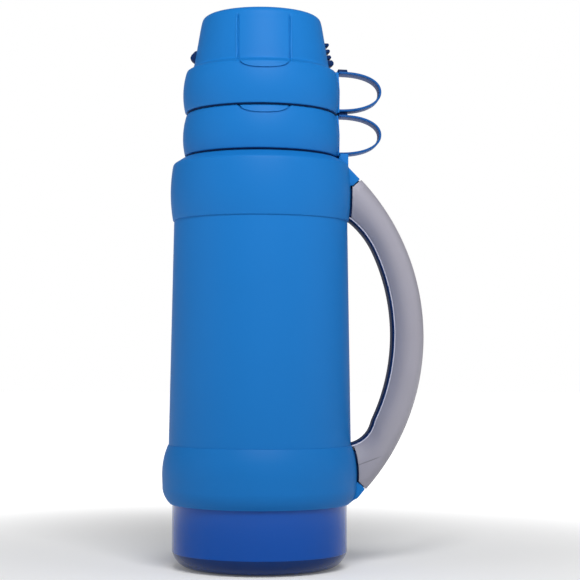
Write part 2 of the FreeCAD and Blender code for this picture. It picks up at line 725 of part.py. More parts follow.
def panel_ridges(name):
    """Two fine upright ridges that frame the front panel of the dome."""
    height = D.cup_height - D.dome_edge * 1.5 - ring_top - 3.6
    slope = D.dome_taper / (D.cup_height - D.dome_edge - ring_top - 3.6)
    skin = cone(f"{name}_ridge_form", D.dome_radius + D.ridge_rise,
                D.dome_radius + D.ridge_rise - slope * height, height, ring_top + 3.6)
    blades = []
    for side, offset in (("left", -(D.panel_half + D.ridge_width)), ("right", D.panel_half)):
        blades.append(box(f"{name}_ridge_{side}", D.ridge_width, D.dome_radius, height,
                          offset, -(D.dome_radius + 1), ring_top + 3.6))
    return common(f"{name}_ridges", skin, union(f"{name}_blades", blades))


def make_cup(label, seat):
    """Drinking cup: wide bulged ring, narrower dome, tongue cut in the ring's front corner."""
    form = revolved(f"{label}_form", cup_outline())
    hollow = revolved(f"{label}_hollow", cup_cavity())
    ring_corner = D.cup_rim_radius - D.ring_corner
    slope = (D.tongue_depth + 1.85) / D.tongue_length
    reach = ring_corner - D.tongue_depth
    tongue_low = ring_top - D.tongue_length
    tongue = revolved_wedge(f"{label}_tongue", [
        at(reach + slope * D.tongue_length, tongue_low), at(reach + 12, tongue_low),
        at(reach + 12, ring_top + 0.01), at(reach, ring_top + 0.01),
    ])
    solid = union(f"{label}_lump", [form, panel_ridges(label)] + cup_lugs(label))
    cup = cut(f"{label}_open", cut(f"{label}_shell", solid, hollow), tongue)
    pad = loop_pad(label)
    whole = union(f"{label}_body", [cup, pad])
    return keep(label, move(whole, z=seat))


def revolved_wedge(name, points):
    """Outline in (depth towards the front, height) padded across the front of a cup."""
    body, sketch = new_sketch(name, "YZ_Plane", [(p[0], -p[1], p[2]) for p in points])
    pad = body.newObject("PartDesign::Pad", f"{name}_pad")
    pad.Profile = sketch
    pad.Midplane = True
    bind(pad, Length=D.cup_rim_radius)
    return body


loop_root = D.cup_rim_radius + D.loop_pad


def loop_pad(label):
    """Flat pad on the cup's ring that carries the loop."""
    block = box(f"{label}_pad_block", D.loop_pad + 2, D.loop_width, ring_top - 2,
                D.cup_rim_radius - 2, -(D.loop_width / 2), 1)
    clear = cylinder(f"{label}_pad_clear", D.cup_rim_radius - 1, ring_top + 4, z=-2)
    return cut(f"{label}_pad", block, clear)


def loop_outline(reach, half):
    """Half of an oval standing on the pad, as three arcs through its own points."""
    def oval(degrees):
        angle = math.radians(degrees)
        return (loop_root + reach * math.sin(angle), D.loop_middle + half * math.cos(angle))
    return [at(*oval(0)), via(*oval(26)), at(*oval(52)), via(*oval(90)), at(*oval(128)),
            via(*oval(154)), at(*oval(180))]


def make_cup_loop(label, seat):
    """Finger loop: a strip bent into a D, with a small stop tab on its upper root."""
    outside = padded(f"{label}_outside", loop_outline(D.loop_reach, D.loop_half), D.loop_width)
    inside = padded(f"{label}_inside",
                    loop_outline(D.loop_reach - D.loop_thick, D.loop_half - D.loop_thick),
                    D.loop_width * 2)
    tab_z = D.loop_middle + D.loop_half - 0.6
    tab = box(f"{label}_tab", D.loop_tab, D.loop_width * 0.6, 0.9, loop_root,
              -(D.loop_width * 0.3), tab_z)
    strip = union(f"{label}_body", [cut(f"{label}_strip", outside, inside), tab])
    return keep(label, move(strip, z=seat))


# ---------------------------------------------------------------- handle
def handle_outline(inset_in, inset_out):
    """Side view of the handle; the insets move its hand side and its outer side inwards."""
    middle = (shell_low + shell_high) / 2 - 2.1
    hand = D.shell_radius + D.hand_gap + inset_in - 0.75
    apex = D.shell_radius + D.hand_gap - 0.75 + D.handle_thick - inset_out
    high = ledge_z - 6.4
    return [
        at(top_radius + 0.2 - inset_out, high), via(apex, middle),
        at(low_root_x - inset_out, low_root_z), at(insert_radius - 2, low_root_z + 4),
        at(insert_radius - 2, shell_low - 1), at(D.shell_radius - 0.2, shell_low + 1.2),
        via(D.shell_radius + 8.4 + inset_in * 0.8, shell_low + 5.6),
        at(D.shell_radius + 14.6 + inset_in, shell_low + 16.4),
        via(hand, middle), at(top_radius + 16.9 + inset_in, shell_high - 18.1),
        via(top_radius + 10.6 + inset_in * 0.8, shell_high - 8),
        at(top_radius + 1.4, shell_high + 0.5), at(top_radius - 2, shell_high + 3),
        at(top_radius - 2, high - 3),
    ]


def body_form(name, gap):
    """Solid that fills the outside of collars and shell, used to fit the handle to them."""
    low = [(kind, x + gap, z) for kind, x, z in low_collar_outer]
    high = [(kind, x + gap, z) for kind, x, z in up_collar_outer[:-1]]
    return revolved(name, [at(0, lip_z)] + low + [at(top_radius + gap, shell_high)] + high
                    + [at(0, corner_z)])


def make_handle(screws):
    """Blue core fixed to both collars and the softer grey grip moulded round it."""
    spine = padded("core_spine", handle_outline(ZERO, D.handle_thick - D.spine_thick - 8),
                   D.spine_width)
    groove = padded("core_groove", handle_outline(D.spine_thick, -D.handle_thick),
                    D.handle_width * 2)
    web = padded("core_web", handle_outline(ZERO, D.grip_skin), D.core_width)
    rough = union("core_rough", [cut("core_inner_face", spine, groove), web])
    seat = union("core_ends", [body_form("handle_seat", ZERO)] + end_cutters("core", ZERO))
    core = cut("core_fitted", rough, seat)
    keep("handle_core", cut("core_drilled", core, screws))

    skin = padded("grip_skin_pad", handle_outline(D.spine_thick, ZERO), D.handle_width)
    clear = union("grip_ends", [body_form("grip_seat", D.root_gap)]
                  + end_cutters("grip", D.root_gap * 0.7))
    keep("handle_grip", cut("grip_body", cut("grip_trimmed", skin, clear), core))


def end_cutters(name, gap):
    """Wedges past both ends of a handle piece, a gap away from the bosses that meet it."""
    wedges = []
    for level, outer, inner, side in (("top", top_end_out, top_end_in, 1),
                                      ("low", low_end_out, low_end_in, -1)):
        (out_x, out_z), (in_x, in_z) = outer, inner
        shift = gap * -side
        rise = (out_z - in_z) / (out_x - in_x) * D.handle_thick
        far_x = out_x + D.handle_thick
        far_z = out_z + 60 * side
        wedges.append(padded(f"{name}_{level}_end", [
            at(in_x, in_z + shift), at(far_x, out_z + rise + shift), at(far_x, far_z),
            at(top_radius - 20, far_z), at(top_radius - 20, in_z + shift),
        ], D.handle_width * 2))
    return wedges


def make_screws():
    """Two screws through each collar, heads inside the shell, tips in the handle's core."""
    outwards = FreeCAD.Rotation(Y_AXIS, 90)
    seats = ((top_inner, shell_high + 8, D.screw_length),
             (insert_inner, shell_low - D.screw_pitch - 7.2, D.long_screw))
    solids = []
    for root, (wall, low, length) in enumerate(seats):
        for step in range(2):
            z = low + D.screw_pitch * step
            name = f"screw_{root}_{step}"
            shank = cylinder(f"{name}_shank", D.screw_radius, length,
                             wall - D.screw_head_thick * 0.5, 0, z, outwards)
            head = cylinder(f"{name}_head", D.screw_head, D.screw_head_thick,
                            wall - D.screw_head_thick, 0, z, outwards)
            solids.append(union(name, [shank, head]))
    return union("screw_group", solids)


# ---------------------------------------------------------------- assembly
screws = make_screws()
make_base_cup()
make_body_shell(screws)
make_lower_collar(screws)
make_upper_collar(screws)
make_outer_glass()
make_inner_glass()
make_glass_spacers()
make_support_cushion()
make_neck_gasket()
make_neck_ring()
make_stopper_body()
make_stopper_cap()
make_release_button()
make_valve_stem()
make_valve_seal()
make_valve_spring()
make_plug_seal()
for level, place in enumerate(("lower", "upper")):
    seat = cup_seat + D.cup_pitch * level
    make_cup(f"{place}_cup", seat)
    make_cup_loop(f"{place}_cup_loop", seat)
make_handle(screws)
keep("handle_screws", screws)

doc.recompute()

# ---------------------------------------------------------------- checks and export
for obj in doc.Objects:
    bad = [state for state in obj.State if state in ("Invalid", "Error")]
    if bad:
        raise RuntimeError(f"{obj.Name} ({obj.Label}) is {bad}")
os.makedirs("parts", exist_ok=True)
for obj in nodes:
    shape = obj.Shape
    if shape.isNull() or not shape.isValid() or shape.Volume <= 0:
        raise RuntimeError(f"{obj.Label} has no valid solid")
    shape.exportStep(f"parts/{obj.Label}.step")
    print(f"{obj.Label}: {len(shape.Solids)} solid(s), {shape.Volume / 1000:.2f} cm3, "
          f"z {shape.BoundBox.ZMin:.2f} to {shape.BoundBox.ZMax:.2f}")
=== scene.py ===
"""Visual model of a vacuum flask with two nested cups, a side handle and a pouring stopper.

Every visible piece is built round the fixed frame: its seat and its overall size come from the
frame's own boxes, and its finer form from the size fields of its class.  Sizes in the classes are
millimetres; meshes are scaled to metres when a piece is finished.
"""
from __future__ import annotations

import json
import logging
import math
from dataclasses import dataclass, field
from enum import Enum
from typing import Any, Sequence

import bmesh
import bpy
from mathutils import Matrix, Vector

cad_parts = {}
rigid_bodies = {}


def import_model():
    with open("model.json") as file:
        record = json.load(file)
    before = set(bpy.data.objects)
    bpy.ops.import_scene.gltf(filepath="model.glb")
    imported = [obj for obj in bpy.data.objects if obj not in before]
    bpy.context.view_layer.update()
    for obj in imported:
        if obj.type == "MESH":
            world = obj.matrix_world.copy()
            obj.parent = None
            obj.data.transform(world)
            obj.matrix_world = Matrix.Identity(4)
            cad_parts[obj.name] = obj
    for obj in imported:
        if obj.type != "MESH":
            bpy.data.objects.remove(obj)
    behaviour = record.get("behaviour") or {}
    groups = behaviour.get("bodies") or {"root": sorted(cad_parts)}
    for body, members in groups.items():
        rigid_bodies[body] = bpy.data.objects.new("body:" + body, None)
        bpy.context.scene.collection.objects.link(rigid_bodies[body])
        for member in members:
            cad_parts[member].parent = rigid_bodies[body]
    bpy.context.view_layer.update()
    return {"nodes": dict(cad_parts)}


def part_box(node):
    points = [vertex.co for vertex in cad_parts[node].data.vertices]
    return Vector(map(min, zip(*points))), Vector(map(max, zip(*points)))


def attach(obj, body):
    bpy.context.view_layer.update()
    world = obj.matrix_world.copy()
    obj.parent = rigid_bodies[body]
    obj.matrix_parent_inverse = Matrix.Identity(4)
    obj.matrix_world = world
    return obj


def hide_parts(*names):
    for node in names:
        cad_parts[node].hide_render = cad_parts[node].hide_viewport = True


LOG = logging.getLogger("flask")
MM = 0.001
FINE_TURN = 192
Point = tuple[float, float]


# ================================================================ shader tools
class Channel:
    """A number flowing between shader nodes; arithmetic on it adds Math nodes."""

    def __init__(self, tree: "NodeBook", socket: bpy.types.NodeSocket) -> None:
        """Wrap a socket of the given tree."""
        self.tree = tree
        self.socket = socket

    def _math(self, operation: str, first: Any, second: Any) -> "Channel":
        """Add one Math node."""
        node = self.tree.add("ShaderNodeMath", {"operation": operation}, {0: first, 1: second})
        return Channel(self.tree, node.outputs[0])

    def __add__(self, other: Any) -> "Channel":
        """Sum."""
        return self._math("ADD", self, other)

    def __sub__(self, other: Any) -> "Channel":
        """Difference."""
        return self._math("SUBTRACT", self, other)

    def __rsub__(self, other: Any) -> "Channel":
        """Reflected difference."""
        return self._math("SUBTRACT", other, self)

    def __mul__(self, other: Any) -> "Channel":
        """Product."""
        return self._math("MULTIPLY", self, other)

    def __truediv__(self, other: Any) -> "Channel":
        """Quotient."""
        return self._math("DIVIDE", self, other)

    def __abs__(self) -> "Channel":
        """Magnitude."""
        return self._math("ABSOLUTE", self, 0.0)

    __radd__ = __add__
    __rmul__ = __mul__

    def band(self, low: float, high: float) -> "Channel":
        """Smooth step from 0 at low to 1 at high.

        Args:
            low: Value that gives 0.
            high: Value that gives 1.

        Returns:
            The stepped channel.
        """
        node = self.tree.add("ShaderNodeMapRange", {"interpolation_type": "SMOOTHSTEP"},
                             {"Value": self, "From Min": low, "From Max": high})
        return Channel(self.tree, node.outputs[0])


class NodeBook:
    """Adds nodes to one material and wires them up."""

    def __init__(self, material: bpy.types.Material) -> None:
        """Start an empty node tree with an output."""
        material.use_nodes = True
        self.tree = material.node_tree
        self.tree.nodes.clear()
        self.output = self.tree.nodes.new("ShaderNodeOutputMaterial")

    def add(self, kind: str, settings: dict[str, Any], inputs: dict[Any, Any]) -> bpy.types.Node:
        """Add a node of any type.

        Args:
            kind: Blender's type name of the node.
            settings: Properties, set before the sockets.
            inputs: Value, socket or Channel for each input, by name or index.

        Returns:
            The new node.
        """
        node = self.tree.nodes.new(kind)
        for key, value in settings.items():
            setattr(node, key, value)
        for key, value in inputs.items():
            if isinstance(value, Channel):
                value = value.socket
            if isinstance(value, bpy.types.NodeSocket):
                self.tree.links.new(value, node.inputs[key])
            else:
                node.inputs[key].default_value = value
        return node

    def place(self, axis: str | None = None,
              scale: tuple[float, float, float] | None = None) -> Any:
        """Object coordinates, stretched, or one axis of them in metres.

        Args:
            axis: X, Y or Z for one coordinate alone.
            scale: Stretch of each axis.

        Returns:
            A vector socket, or a Channel when an axis is given.
        """
        spot = self.add("ShaderNodeTexCoord", {}, {}).outputs["Object"]
        if axis:
            return Channel(self, self.add("ShaderNodeSeparateXYZ", {}, {0: spot}).outputs[axis])
        if scale:
            spot = self.add("ShaderNodeMapping", {}, {"Vector": spot, "Scale": scale}).outputs[0]
        return spot

    def noise(self, scale: float, detail: float = 2.0, rough: float = 0.5,
              stretch: tuple[float, float, float] | None = None) -> Channel:
        """Even noise from 0 to 1.

        Args:
            scale: Lumps per metre.
            detail: Octaves.
            rough: Strength of the finer octaves.
            stretch: Scale of each axis.

        Returns:
            The noise value.
        """
        node = self.add("ShaderNodeTexNoise", {},
                        {"Vector": self.place(scale=stretch), "Scale": scale, "Detail": detail,
                         "Roughness": rough})
        return Channel(self, node.outputs[0])

    def blend(self, factor: Channel | float, first: Any, second: Any) -> bpy.types.NodeSocket:
        """Mix two colours.

        Args:
            factor: 0 gives the first colour, 1 the second.
            first: Colour or socket.
            second: Colour or socket.

        Returns:
            The colour socket.
        """
        node = self.add("ShaderNodeMix", {"data_type": "RGBA"}, {0: factor, 6: first, 7: second})
        return node.outputs[2]

    def bump(self, height: Channel, depth: float, strength: float = 1.0,
             normal: bpy.types.NodeSocket | None = None) -> bpy.types.NodeSocket:
        """Bump that feeds Normal.

        Args:
            height: Height from 0 to 1.
            depth: What 1 stands for, in metres.
            strength: Share of the bump that counts.
            normal: Another bump under this one.

        Returns:
            The normal socket.
        """
        inputs: dict[str, Any] = {"Height": height, "Distance": depth, "Strength": strength}
        if normal is not None:
            inputs["Normal"] = normal
        return self.add("ShaderNodeBump", {}, inputs).outputs[0]

    def edges(self, start: float = 0.505, full: float = 0.56) -> Channel:
        """How convex the surface is, 0 on flats and 1 on sharp edges, which finishes lighten as
        wear and as a painted highlight.
        """
        node = self.add("ShaderNodeNewGeometry", {}, {})
        return Channel(self, node.outputs["Pointiness"]).band(start, full)

    def shade(self, **sockets: Any) -> None:
        """Finish with a Principled surface; keys are its socket names with underscores."""
        named = {key.replace("_", " "): value for key, value in sockets.items()}
        shader = self.add("ShaderNodeBsdfPrincipled", {}, named)
        self.tree.links.new(shader.outputs[0], self.output.inputs[0])


def paint(red: int, green: int, blue: int) -> tuple[float, float, float, float]:
    """Shader colour of a display colour from 0 to 255 in each channel."""
    def linear(value: int) -> float:
        share = value / 255
        return share / 12.92 if share <= 0.04045 else ((share + 0.055) / 1.055) ** 2.4
    return (linear(red), linear(green), linear(blue), 1.0)


def tinted(colour: Sequence[float], gain: float) -> tuple[float, float, float, float]:
    """The same colour, lighter or darker by a factor."""
    return (min(colour[0] * gain, 1), min(colour[1] * gain, 1), min(colour[2] * gain, 1), 1.0)


# ================================================================ finishes
class Slot(Enum):
    """Material slots of the record."""

    SOFT_BLUE = "soft_blue"
    NAVY_CORE = "navy_core"
    GLOSS_BLUE = "gloss_blue"
    GREY_GRIP = "grey_grip"
    SILVERED_GLASS = "silvered_glass"
    FELT_PAD = "felt_pad"
    BLACK_RUBBER = "black_rubber"
    SILICONE = "silicone"
    PALE_PLASTIC = "pale_plastic"
    STEEL = "steel"


@dataclass(frozen=True)
class SoftTouch:
    """Soft-touch moulded plastic: even fine grain, faint clouding, edges lighter as rub wear and
    as a painted highlight.
    """

    colour: tuple[float, ...] = paint(14, 102, 172)
    roughness: float = 0.52
    grain: float = 2600.0
    grain_depth: float = 0.00004

    def make(self, name: str) -> bpy.types.Material:
        """Build the material under the given name."""
        material = bpy.data.materials.new(name)
        book = NodeBook(material)
        cloud = book.noise(14, 3, 0.55)
        speck = book.noise(self.grain * 0.5, 1, 0.5)
        body = book.blend(cloud, tinted(self.colour, 0.955), tinted(self.colour, 1.05))
        body = book.blend(speck.band(0.62, 0.8) * 0.10, body, tinted(self.colour, 1.35))
        # Lighter convex edges: partly rub wear, partly a painted highlight.
        body = book.blend(book.edges() * 0.16, body, tinted(self.colour, 1.5))
        grain = book.noise(self.grain, 2, 0.6)
        gentle = book.bump(book.noise(60, 2, 0.5), 0.00006, 0.5)
        book.shade(Base_Color=body,
                   Roughness=self.roughness + (cloud - 0.5) * 0.10 + (speck - 0.5) * 0.08,
                   Normal=book.bump(grain, self.grain_depth, 0.55, gentle),
                   Specular_IOR_Level=0.14)
        return material


@dataclass(frozen=True)
class PolishedPlastic:
    """Glossy moulding with faint flow lines and fine rub marks."""

    colour: tuple[float, ...] = paint(0, 70, 155)
    roughness: float = 0.11

    def make(self, name: str) -> bpy.types.Material:
        """Build the material under the given name."""
        material = bpy.data.materials.new(name)
        book = NodeBook(material)
        flow = book.noise(24, 2, 0.5, (1, 1, 0.25))
        rubs = book.noise(420, 3, 0.7, (1, 1, 9)).band(0.60, 0.78)
        body = book.blend(flow, tinted(self.colour, 0.94), tinted(self.colour, 1.06))
        # Lighter convex edges: partly rub wear, partly a painted highlight.
        body = book.blend(book.edges() * 0.2, body, tinted(self.colour, 1.5))
        book.shade(Base_Color=body, Roughness=self.roughness + rubs * 0.12 + flow * 0.04,
                   Normal=book.bump(book.noise(90, 2, 0.4), 0.00003, 0.4),
                   Specular_IOR_Level=0.2)
        return material


@dataclass(frozen=True)
class GripRubber:
    """Satin grey grip: fine stipple, slightly darker where hands rub, lighter edges, one moulding
    seam painted dark as the shade of its crease.
    """

    colour: tuple[float, ...] = paint(140, 138, 149)
    seam_spot: Point = (68.8, 71.3)
    seam_slope: float = 0.376
    seam_end: float = 84.0

    def make(self, name: str) -> bpy.types.Material:
        """Build the material under the given name."""
        material = bpy.data.materials.new(name)
        book = NodeBook(material)
        cloud = book.noise(26, 3, 0.55)
        stipple = book.noise(1900, 2, 0.6)
        across, up = book.place("X"), book.place("Z")
        seam_x, seam_z = self.seam_spot[0] * MM, self.seam_spot[1] * MM
        off = abs(up - seam_z - (across - seam_x) * self.seam_slope)
        beyond = across.band(seam_x + 0.008, self.seam_end * MM)
        line = (1 - off.band(0.0002, 0.0006)) * (1 - beyond)
        body = book.blend(cloud, tinted(self.colour, 0.93), tinted(self.colour, 1.07))
        body = book.blend(stipple.band(0.55, 0.8) * 0.12, body, tinted(self.colour, 1.3))
        # Lighter convex edges: partly rub wear, partly a painted highlight along the grip's rims.
        body = book.blend(book.edges(0.53, 0.6) * 0.3, body, tinted(self.colour, 1.4))
        # Dark seam line: a groove in the bump, and a painted shade of the crease.
        body = book.blend(line * 0.55, body, tinted(self.colour, 0.35))
        height = stipple * 0.5 - line * 2.0
        book.shade(Base_Color=body, Roughness=0.46 + (cloud - 0.5) * 0.12,
                   Normal=book.bump(height, 0.00006, 0.6), Specular_IOR_Level=0.45)
        return material


@dataclass(frozen=True)
class PlainMoulding:
    """Pale or dark plain moulding, felt or rubber, told apart by colour, grain and gloss."""

    colour: tuple[float, ...]
    roughness: float = 0.42
    grain: float = 900.0
    grain_depth: float = 0.00003
    metallic: float = 0.0
    marks: float = 0.10
    gloss: float = 0.5

    def make(self, name: str) -> bpy.types.Material:
        """Build the material under the given name."""
        material = bpy.data.materials.new(name)
        book = NodeBook(material)
        cloud = book.noise(40, 3, 0.5)
        marks = book.noise(260, 3, 0.65, (1, 1, 6)).band(0.56, 0.8)
        body = book.blend(cloud, tinted(self.colour, 0.90), tinted(self.colour, 1.06))
        # Lighter convex edges: partly rub wear, partly a painted highlight.
        body = book.blend(book.edges() * 0.3, body, tinted(self.colour, 1.25))
        book.shade(Base_Color=body, Roughness=self.roughness + marks * self.marks,
                   Metallic=self.metallic, Specular_IOR_Level=self.gloss,
                   Normal=book.bump(book.noise(self.grain, 2, 0.5), self.grain_depth, 0.5))
        return material


@dataclass(frozen=True)
class SilveredGlass:
    """Thin glass silvered on its far side: bright, glossy, with faint cloudy streaks."""

    def make(self, name: str) -> bpy.types.Material:
        """Build the material under the given name."""
        material = bpy.data.materials.new(name)
        book = NodeBook(material)
        streak = book.noise(30, 4, 0.6, (1, 1, 0.3))
        body = book.blend(streak, paint(196, 200, 204), paint(236, 238, 240))
        book.shade(Base_Color=body, Roughness=0.07 + streak * 0.08, Metallic=0.95 - streak * 0.1,
                   Normal=book.bump(book.noise(45, 2, 0.4), 0.0002, 0.3), Coat_Weight=0.6,
                   Coat_Roughness=0.03)
        return material


FINISHES: dict[Slot, Any] = {
    Slot.SOFT_BLUE: SoftTouch(),
    # Dark navy: painted shade on the handle's spine and roots, the lugs, the loop tabs and the
    # line under each rim.
    Slot.NAVY_CORE: PlainMoulding(paint(8, 36, 78), 0.6, 1500, gloss=0.08),
    Slot.GLOSS_BLUE: PolishedPlastic(),
    Slot.GREY_GRIP: GripRubber(),
    Slot.SILVERED_GLASS: SilveredGlass(),
    Slot.FELT_PAD: PlainMoulding(paint(150, 140, 124), 0.9, 700, 0.0002),
    Slot.BLACK_RUBBER: PlainMoulding(paint(38, 38, 41), 0.7, 1200, 0.00006),
    Slot.SILICONE: PlainMoulding(paint(214, 213, 206), 0.38, 500, 0.00002),
    Slot.PALE_PLASTIC: PlainMoulding(paint(208, 212, 218), 0.36),
    Slot.STEEL: PlainMoulding(paint(176, 178, 184), 0.26, 2400, 0.00001, 1.0),
}


class PaintedLight(Enum):
    """Darker and lighter copies of a slot's finish that paint shade or highlight on one part of
    the flask each.
    """

    # Loops painted darker than the cups: painted shade on their undersides and inner faces.
    LOOP_BLUE = SoftTouch(colour=paint(8, 74, 136))
    # Darker gloss blue: painted shade on the rounded foot, which faces the floor.
    FOOT_PAINTED_SHADE = PolishedPlastic(colour=paint(0, 40, 96))
    # Paler grey: painted highlight on the handle cover's edge bevels and on its bead.
    GRIP_PAINTED_HIGHLIGHT = GripRubber(colour=paint(186, 186, 200), seam_end=0.0)


class Wardrobe:
    """Makes each finish once and hands it out."""

    def __init__(self) -> None:
        """Start with no materials made."""
        self.made: dict[Enum, bpy.types.Material] = {}

    def get(self, wanted: Slot | PaintedLight) -> bpy.types.Material:
        """Material of a slot or of a painted-light copy of one."""
        if wanted not in self.made:
            finish = FINISHES[wanted] if isinstance(wanted, Slot) else wanted.value
            self.made[wanted] = finish.make(f"finish_{wanted.name.lower()}")
        return self.made[wanted]


# ================================================================ outlines and meshes
class Outline:
    """Open or closed line in (radius or x, height), drawn corner by corner in millimetres."""

    def __init__(self, across: float, up: float, soft: float = 0.0) -> None:
        """Start at a point."""
        self.spots: list[tuple[float, float, float]] = [(across, up, soft)]

    def to(self, across: float, up: float, soft: float = 0.0) -> "Outline":
        """Straight run to a corner.

        Args:
            across: Radius or x of the corner.
            up: Height of the corner.
            soft: How far from the corner its rounding starts.

        Returns:
            The outline itself.
        """
        self.spots.append((across, up, soft))
        return self

    def arc(self, middle: Point, end: Point, soft: float = 0.0, steps: int = 14) -> "Outline":
        """Circular arc through a middle point to an end point.

        Args:
            middle: Point on the arc.
            end: Last point.
            soft: Rounding at the last point.
            steps: Number of pieces.

        Returns:
            The outline itself.
        """
        ax, ay = self.spots[-1][:2]
        (bx, by), (cx, cy) = middle, end
        turn = 2 * (ax * (by - cy) + bx * (cy - ay) + cx * (ay - by))
        squares = [ax * ax + ay * ay, bx * bx + by * by, cx * cx + cy * cy]
        ox = (squares[0] * (by - cy) + squares[1] * (cy - ay) + squares[2] * (ay - by)) / turn
        oy = (squares[0] * (cx - bx) + squares[1] * (ax - cx) + squares[2] * (bx - ax)) / turn
        radius = math.hypot(ax - ox, ay - oy)
        start = math.atan2(ay - oy, ax - ox)
        sweep = (math.atan2(cy - oy, cx - ox) - start) % math.tau
        halfway = (math.atan2(by - oy, bx - ox) - start) % math.tau
        if halfway > sweep:
            sweep -= math.tau
        for step in range(1, steps):
            angle = start + sweep * step / steps
            self.spots.append((ox + radius * math.cos(angle), oy + radius * math.sin(angle), 0.0))
        self.spots.append((cx, cy, soft))
        return self

    def points(self, steps: int = 4) -> list[Vector]:
        """Points of the line with every soft corner rounded.

        Args:
            steps: Pieces of each rounding.

        Returns:
            Points in order.
        """
        raw = [Vector(spot[:2]) for spot in self.spots]
        gone: set[int] = set()
        rounds: dict[int, list[Vector]] = {}
        for index, (_, _, soft) in enumerate(self.spots):
            if soft <= 0 or index in (0, len(raw) - 1):
                continue
            back, first = self._walk(raw, index, -1, soft)
            ahead, last = self._walk(raw, index, 1, soft)
            gone.update(range(first, last + 1))
            rounds[first] = [back.lerp(raw[index], t).lerp(raw[index].lerp(ahead, t), t)
                             for t in (step / steps for step in range(steps + 1))]
        line: list[Vector] = []
        for index, point in enumerate(raw):
            line.extend(rounds.get(index, []))
            if index not in gone:
                line.append(point)
        return line

    @staticmethod
    def _walk(raw: list[Vector], index: int, step: int, distance: float) -> tuple[Vector, int]:
        """Point a distance along the line from a corner, and the last corner passed."""
        spot = raw[index]
        while 0 <= index + step < len(raw):
            length = (raw[index + step] - spot).length
            if length >= distance:
                return spot.lerp(raw[index + step], distance / length), index
            distance -= length
            index += step
            spot = raw[index]
        return spot, index


class Form:
    """A mesh being shaped in millimetres."""

    def __init__(self) -> None:
        """Start empty."""
        self.mesh = bmesh.new()

    def wire(self, points: Sequence[Vector | Sequence[float]],
             closed: bool = False) -> tuple[list, list]:
        """Join points with edges.

        Args:
            points: Points of the line, three numbers each or two in the handle's plane.
            closed: Whether the last point joins the first.

        Returns:
            The new vertices and edges.
        """
        spots = [Vector(point) if len(point) == 3 else Vector((point[0], 0, point[1]))
                 for point in points]
        verts = [self.mesh.verts.new(spot) for spot in spots]
        pairs = list(zip(verts, verts[1:]))
        if closed:
            pairs.append((verts[-1], verts[0]))
        return verts, [self.mesh.edges.new(pair) for pair in pairs]

    def turn(self, outline: Outline, steps: int = 160) -> "Form":
        """Spin an outline all the way about the flask's axis."""
        verts, edges = self.wire(outline.points())
        bmesh.ops.spin(self.mesh, geom=verts + edges, cent=(0, 0, 0), axis=(0, 0, 1),
                       angle=math.tau, steps=steps, use_merge=True)
        return self

    def sector(self, section: Sequence[Point], middle: float, span: float,
               steps: int = 12) -> "Form":
        """Spin a closed section part of the way and close its ends.

        Args:
            section: Corners in (radius, height).
            middle: Direction of the middle of the sector in degrees.
            span: Width of the sector in degrees.
            steps: Number of pieces.

        Returns:
            The form itself.
        """
        verts, edges = self.wire(section, closed=True)
        first = self.mesh.faces.new(verts)
        start = Matrix.Rotation(math.radians(middle - span / 2), 4, "Z")
        bmesh.ops.transform(self.mesh, matrix=start, verts=verts)
        bmesh.ops.spin(self.mesh, geom=verts + edges + [first], cent=(0, 0, 0), axis=(0, 0, 1),
                       angle=math.radians(span), steps=steps)
        return self

    def slab(self, outline: Sequence[Vector | Point], width: float) -> "Form":
        """Closed outline in (x, z) made a slab of the given width about the middle plane."""
        verts, _ = self.wire(outline, closed=True)
        bmesh.ops.translate(self.mesh, vec=(0, -width / 2, 0), verts=verts)
        face = self.mesh.faces.new(verts)
        made = bmesh.ops.extrude_face_region(self.mesh, geom=[face])
        moved = [item for item in made["geom"] if isinstance(item, bmesh.types.BMVert)]
        bmesh.ops.translate(self.mesh, vec=(0, width, 0), verts=moved)
        return self

    def loft(self, sections: Sequence[Sequence[Vector]]) -> "Form":
        """Bridge closed sections one after another and close both ends.

        Args:
            sections: Loops of the same number of points.

        Returns:
            The form itself.
        """
        loops = [self.wire(section, closed=True) for section in sections]
        for (_, first), (_, second) in zip(loops, loops[1:]):
            bmesh.ops.bridge_loops(self.mesh, edges=first + second)
        for verts, _ in (loops[0], loops[-1]):
            self.mesh.faces.new(verts)
        return self

    def tidy(self, gap: float = 0.001) -> "Form":
        """Merge doubles, drop empty faces and turn every face outwards."""
        bmesh.ops.remove_doubles(self.mesh, verts=self.mesh.verts[:], dist=gap)
        bmesh.ops.dissolve_degenerate(self.mesh, dist=gap, edges=self.mesh.edges[:])
        loose = [vert for vert in self.mesh.verts if not vert.link_faces]
        bmesh.ops.delete(self.mesh, geom=loose, context="VERTS")
        bmesh.ops.recalc_face_normals(self.mesh, faces=self.mesh.faces[:])
        return self

    def soften(self, offset: float, angle: float = 35.0, segments: int = 2,
               lip: bool = False) -> "Form":
        """Bevel sharp edges.

        Args:
            offset: Width of the bevel on each side.
            angle: Edges sharper than this, in degrees, are bevelled.
            segments: Pieces of each bevel.
            lip: Whether the new faces take the piece's second finish; on the handle cover that
                finish paints a highlight on the bevels.

        Returns:
            The form itself.
        """
        sharp = [edge for edge in self.mesh.edges
                 if len(edge.link_faces) == 2 and edge.calc_face_angle(0) > math.radians(angle)]
        made = bmesh.ops.bevel(self.mesh, geom=sharp, offset=offset, offset_type="OFFSET",
                               affect="EDGES", segments=segments, profile=0.5, material=-1,
                               clamp_overlap=True)
        for face in made["faces"]:
            face.material_index = int(lip)
        return self

    def lift(self, height: float) -> "Form":
        """Move the whole form up."""
        bmesh.ops.translate(self.mesh, vec=(0, 0, height), verts=self.mesh.verts[:])
        return self

    def data(self, name: str) -> bpy.types.Mesh:
        """Mesh in metres; the form is used up."""
        bmesh.ops.scale(self.mesh, vec=(MM, MM, MM), verts=self.mesh.verts[:])
        mesh = bpy.data.meshes.new(name)
        self.mesh.to_mesh(mesh)
        self.mesh.free()
        return mesh


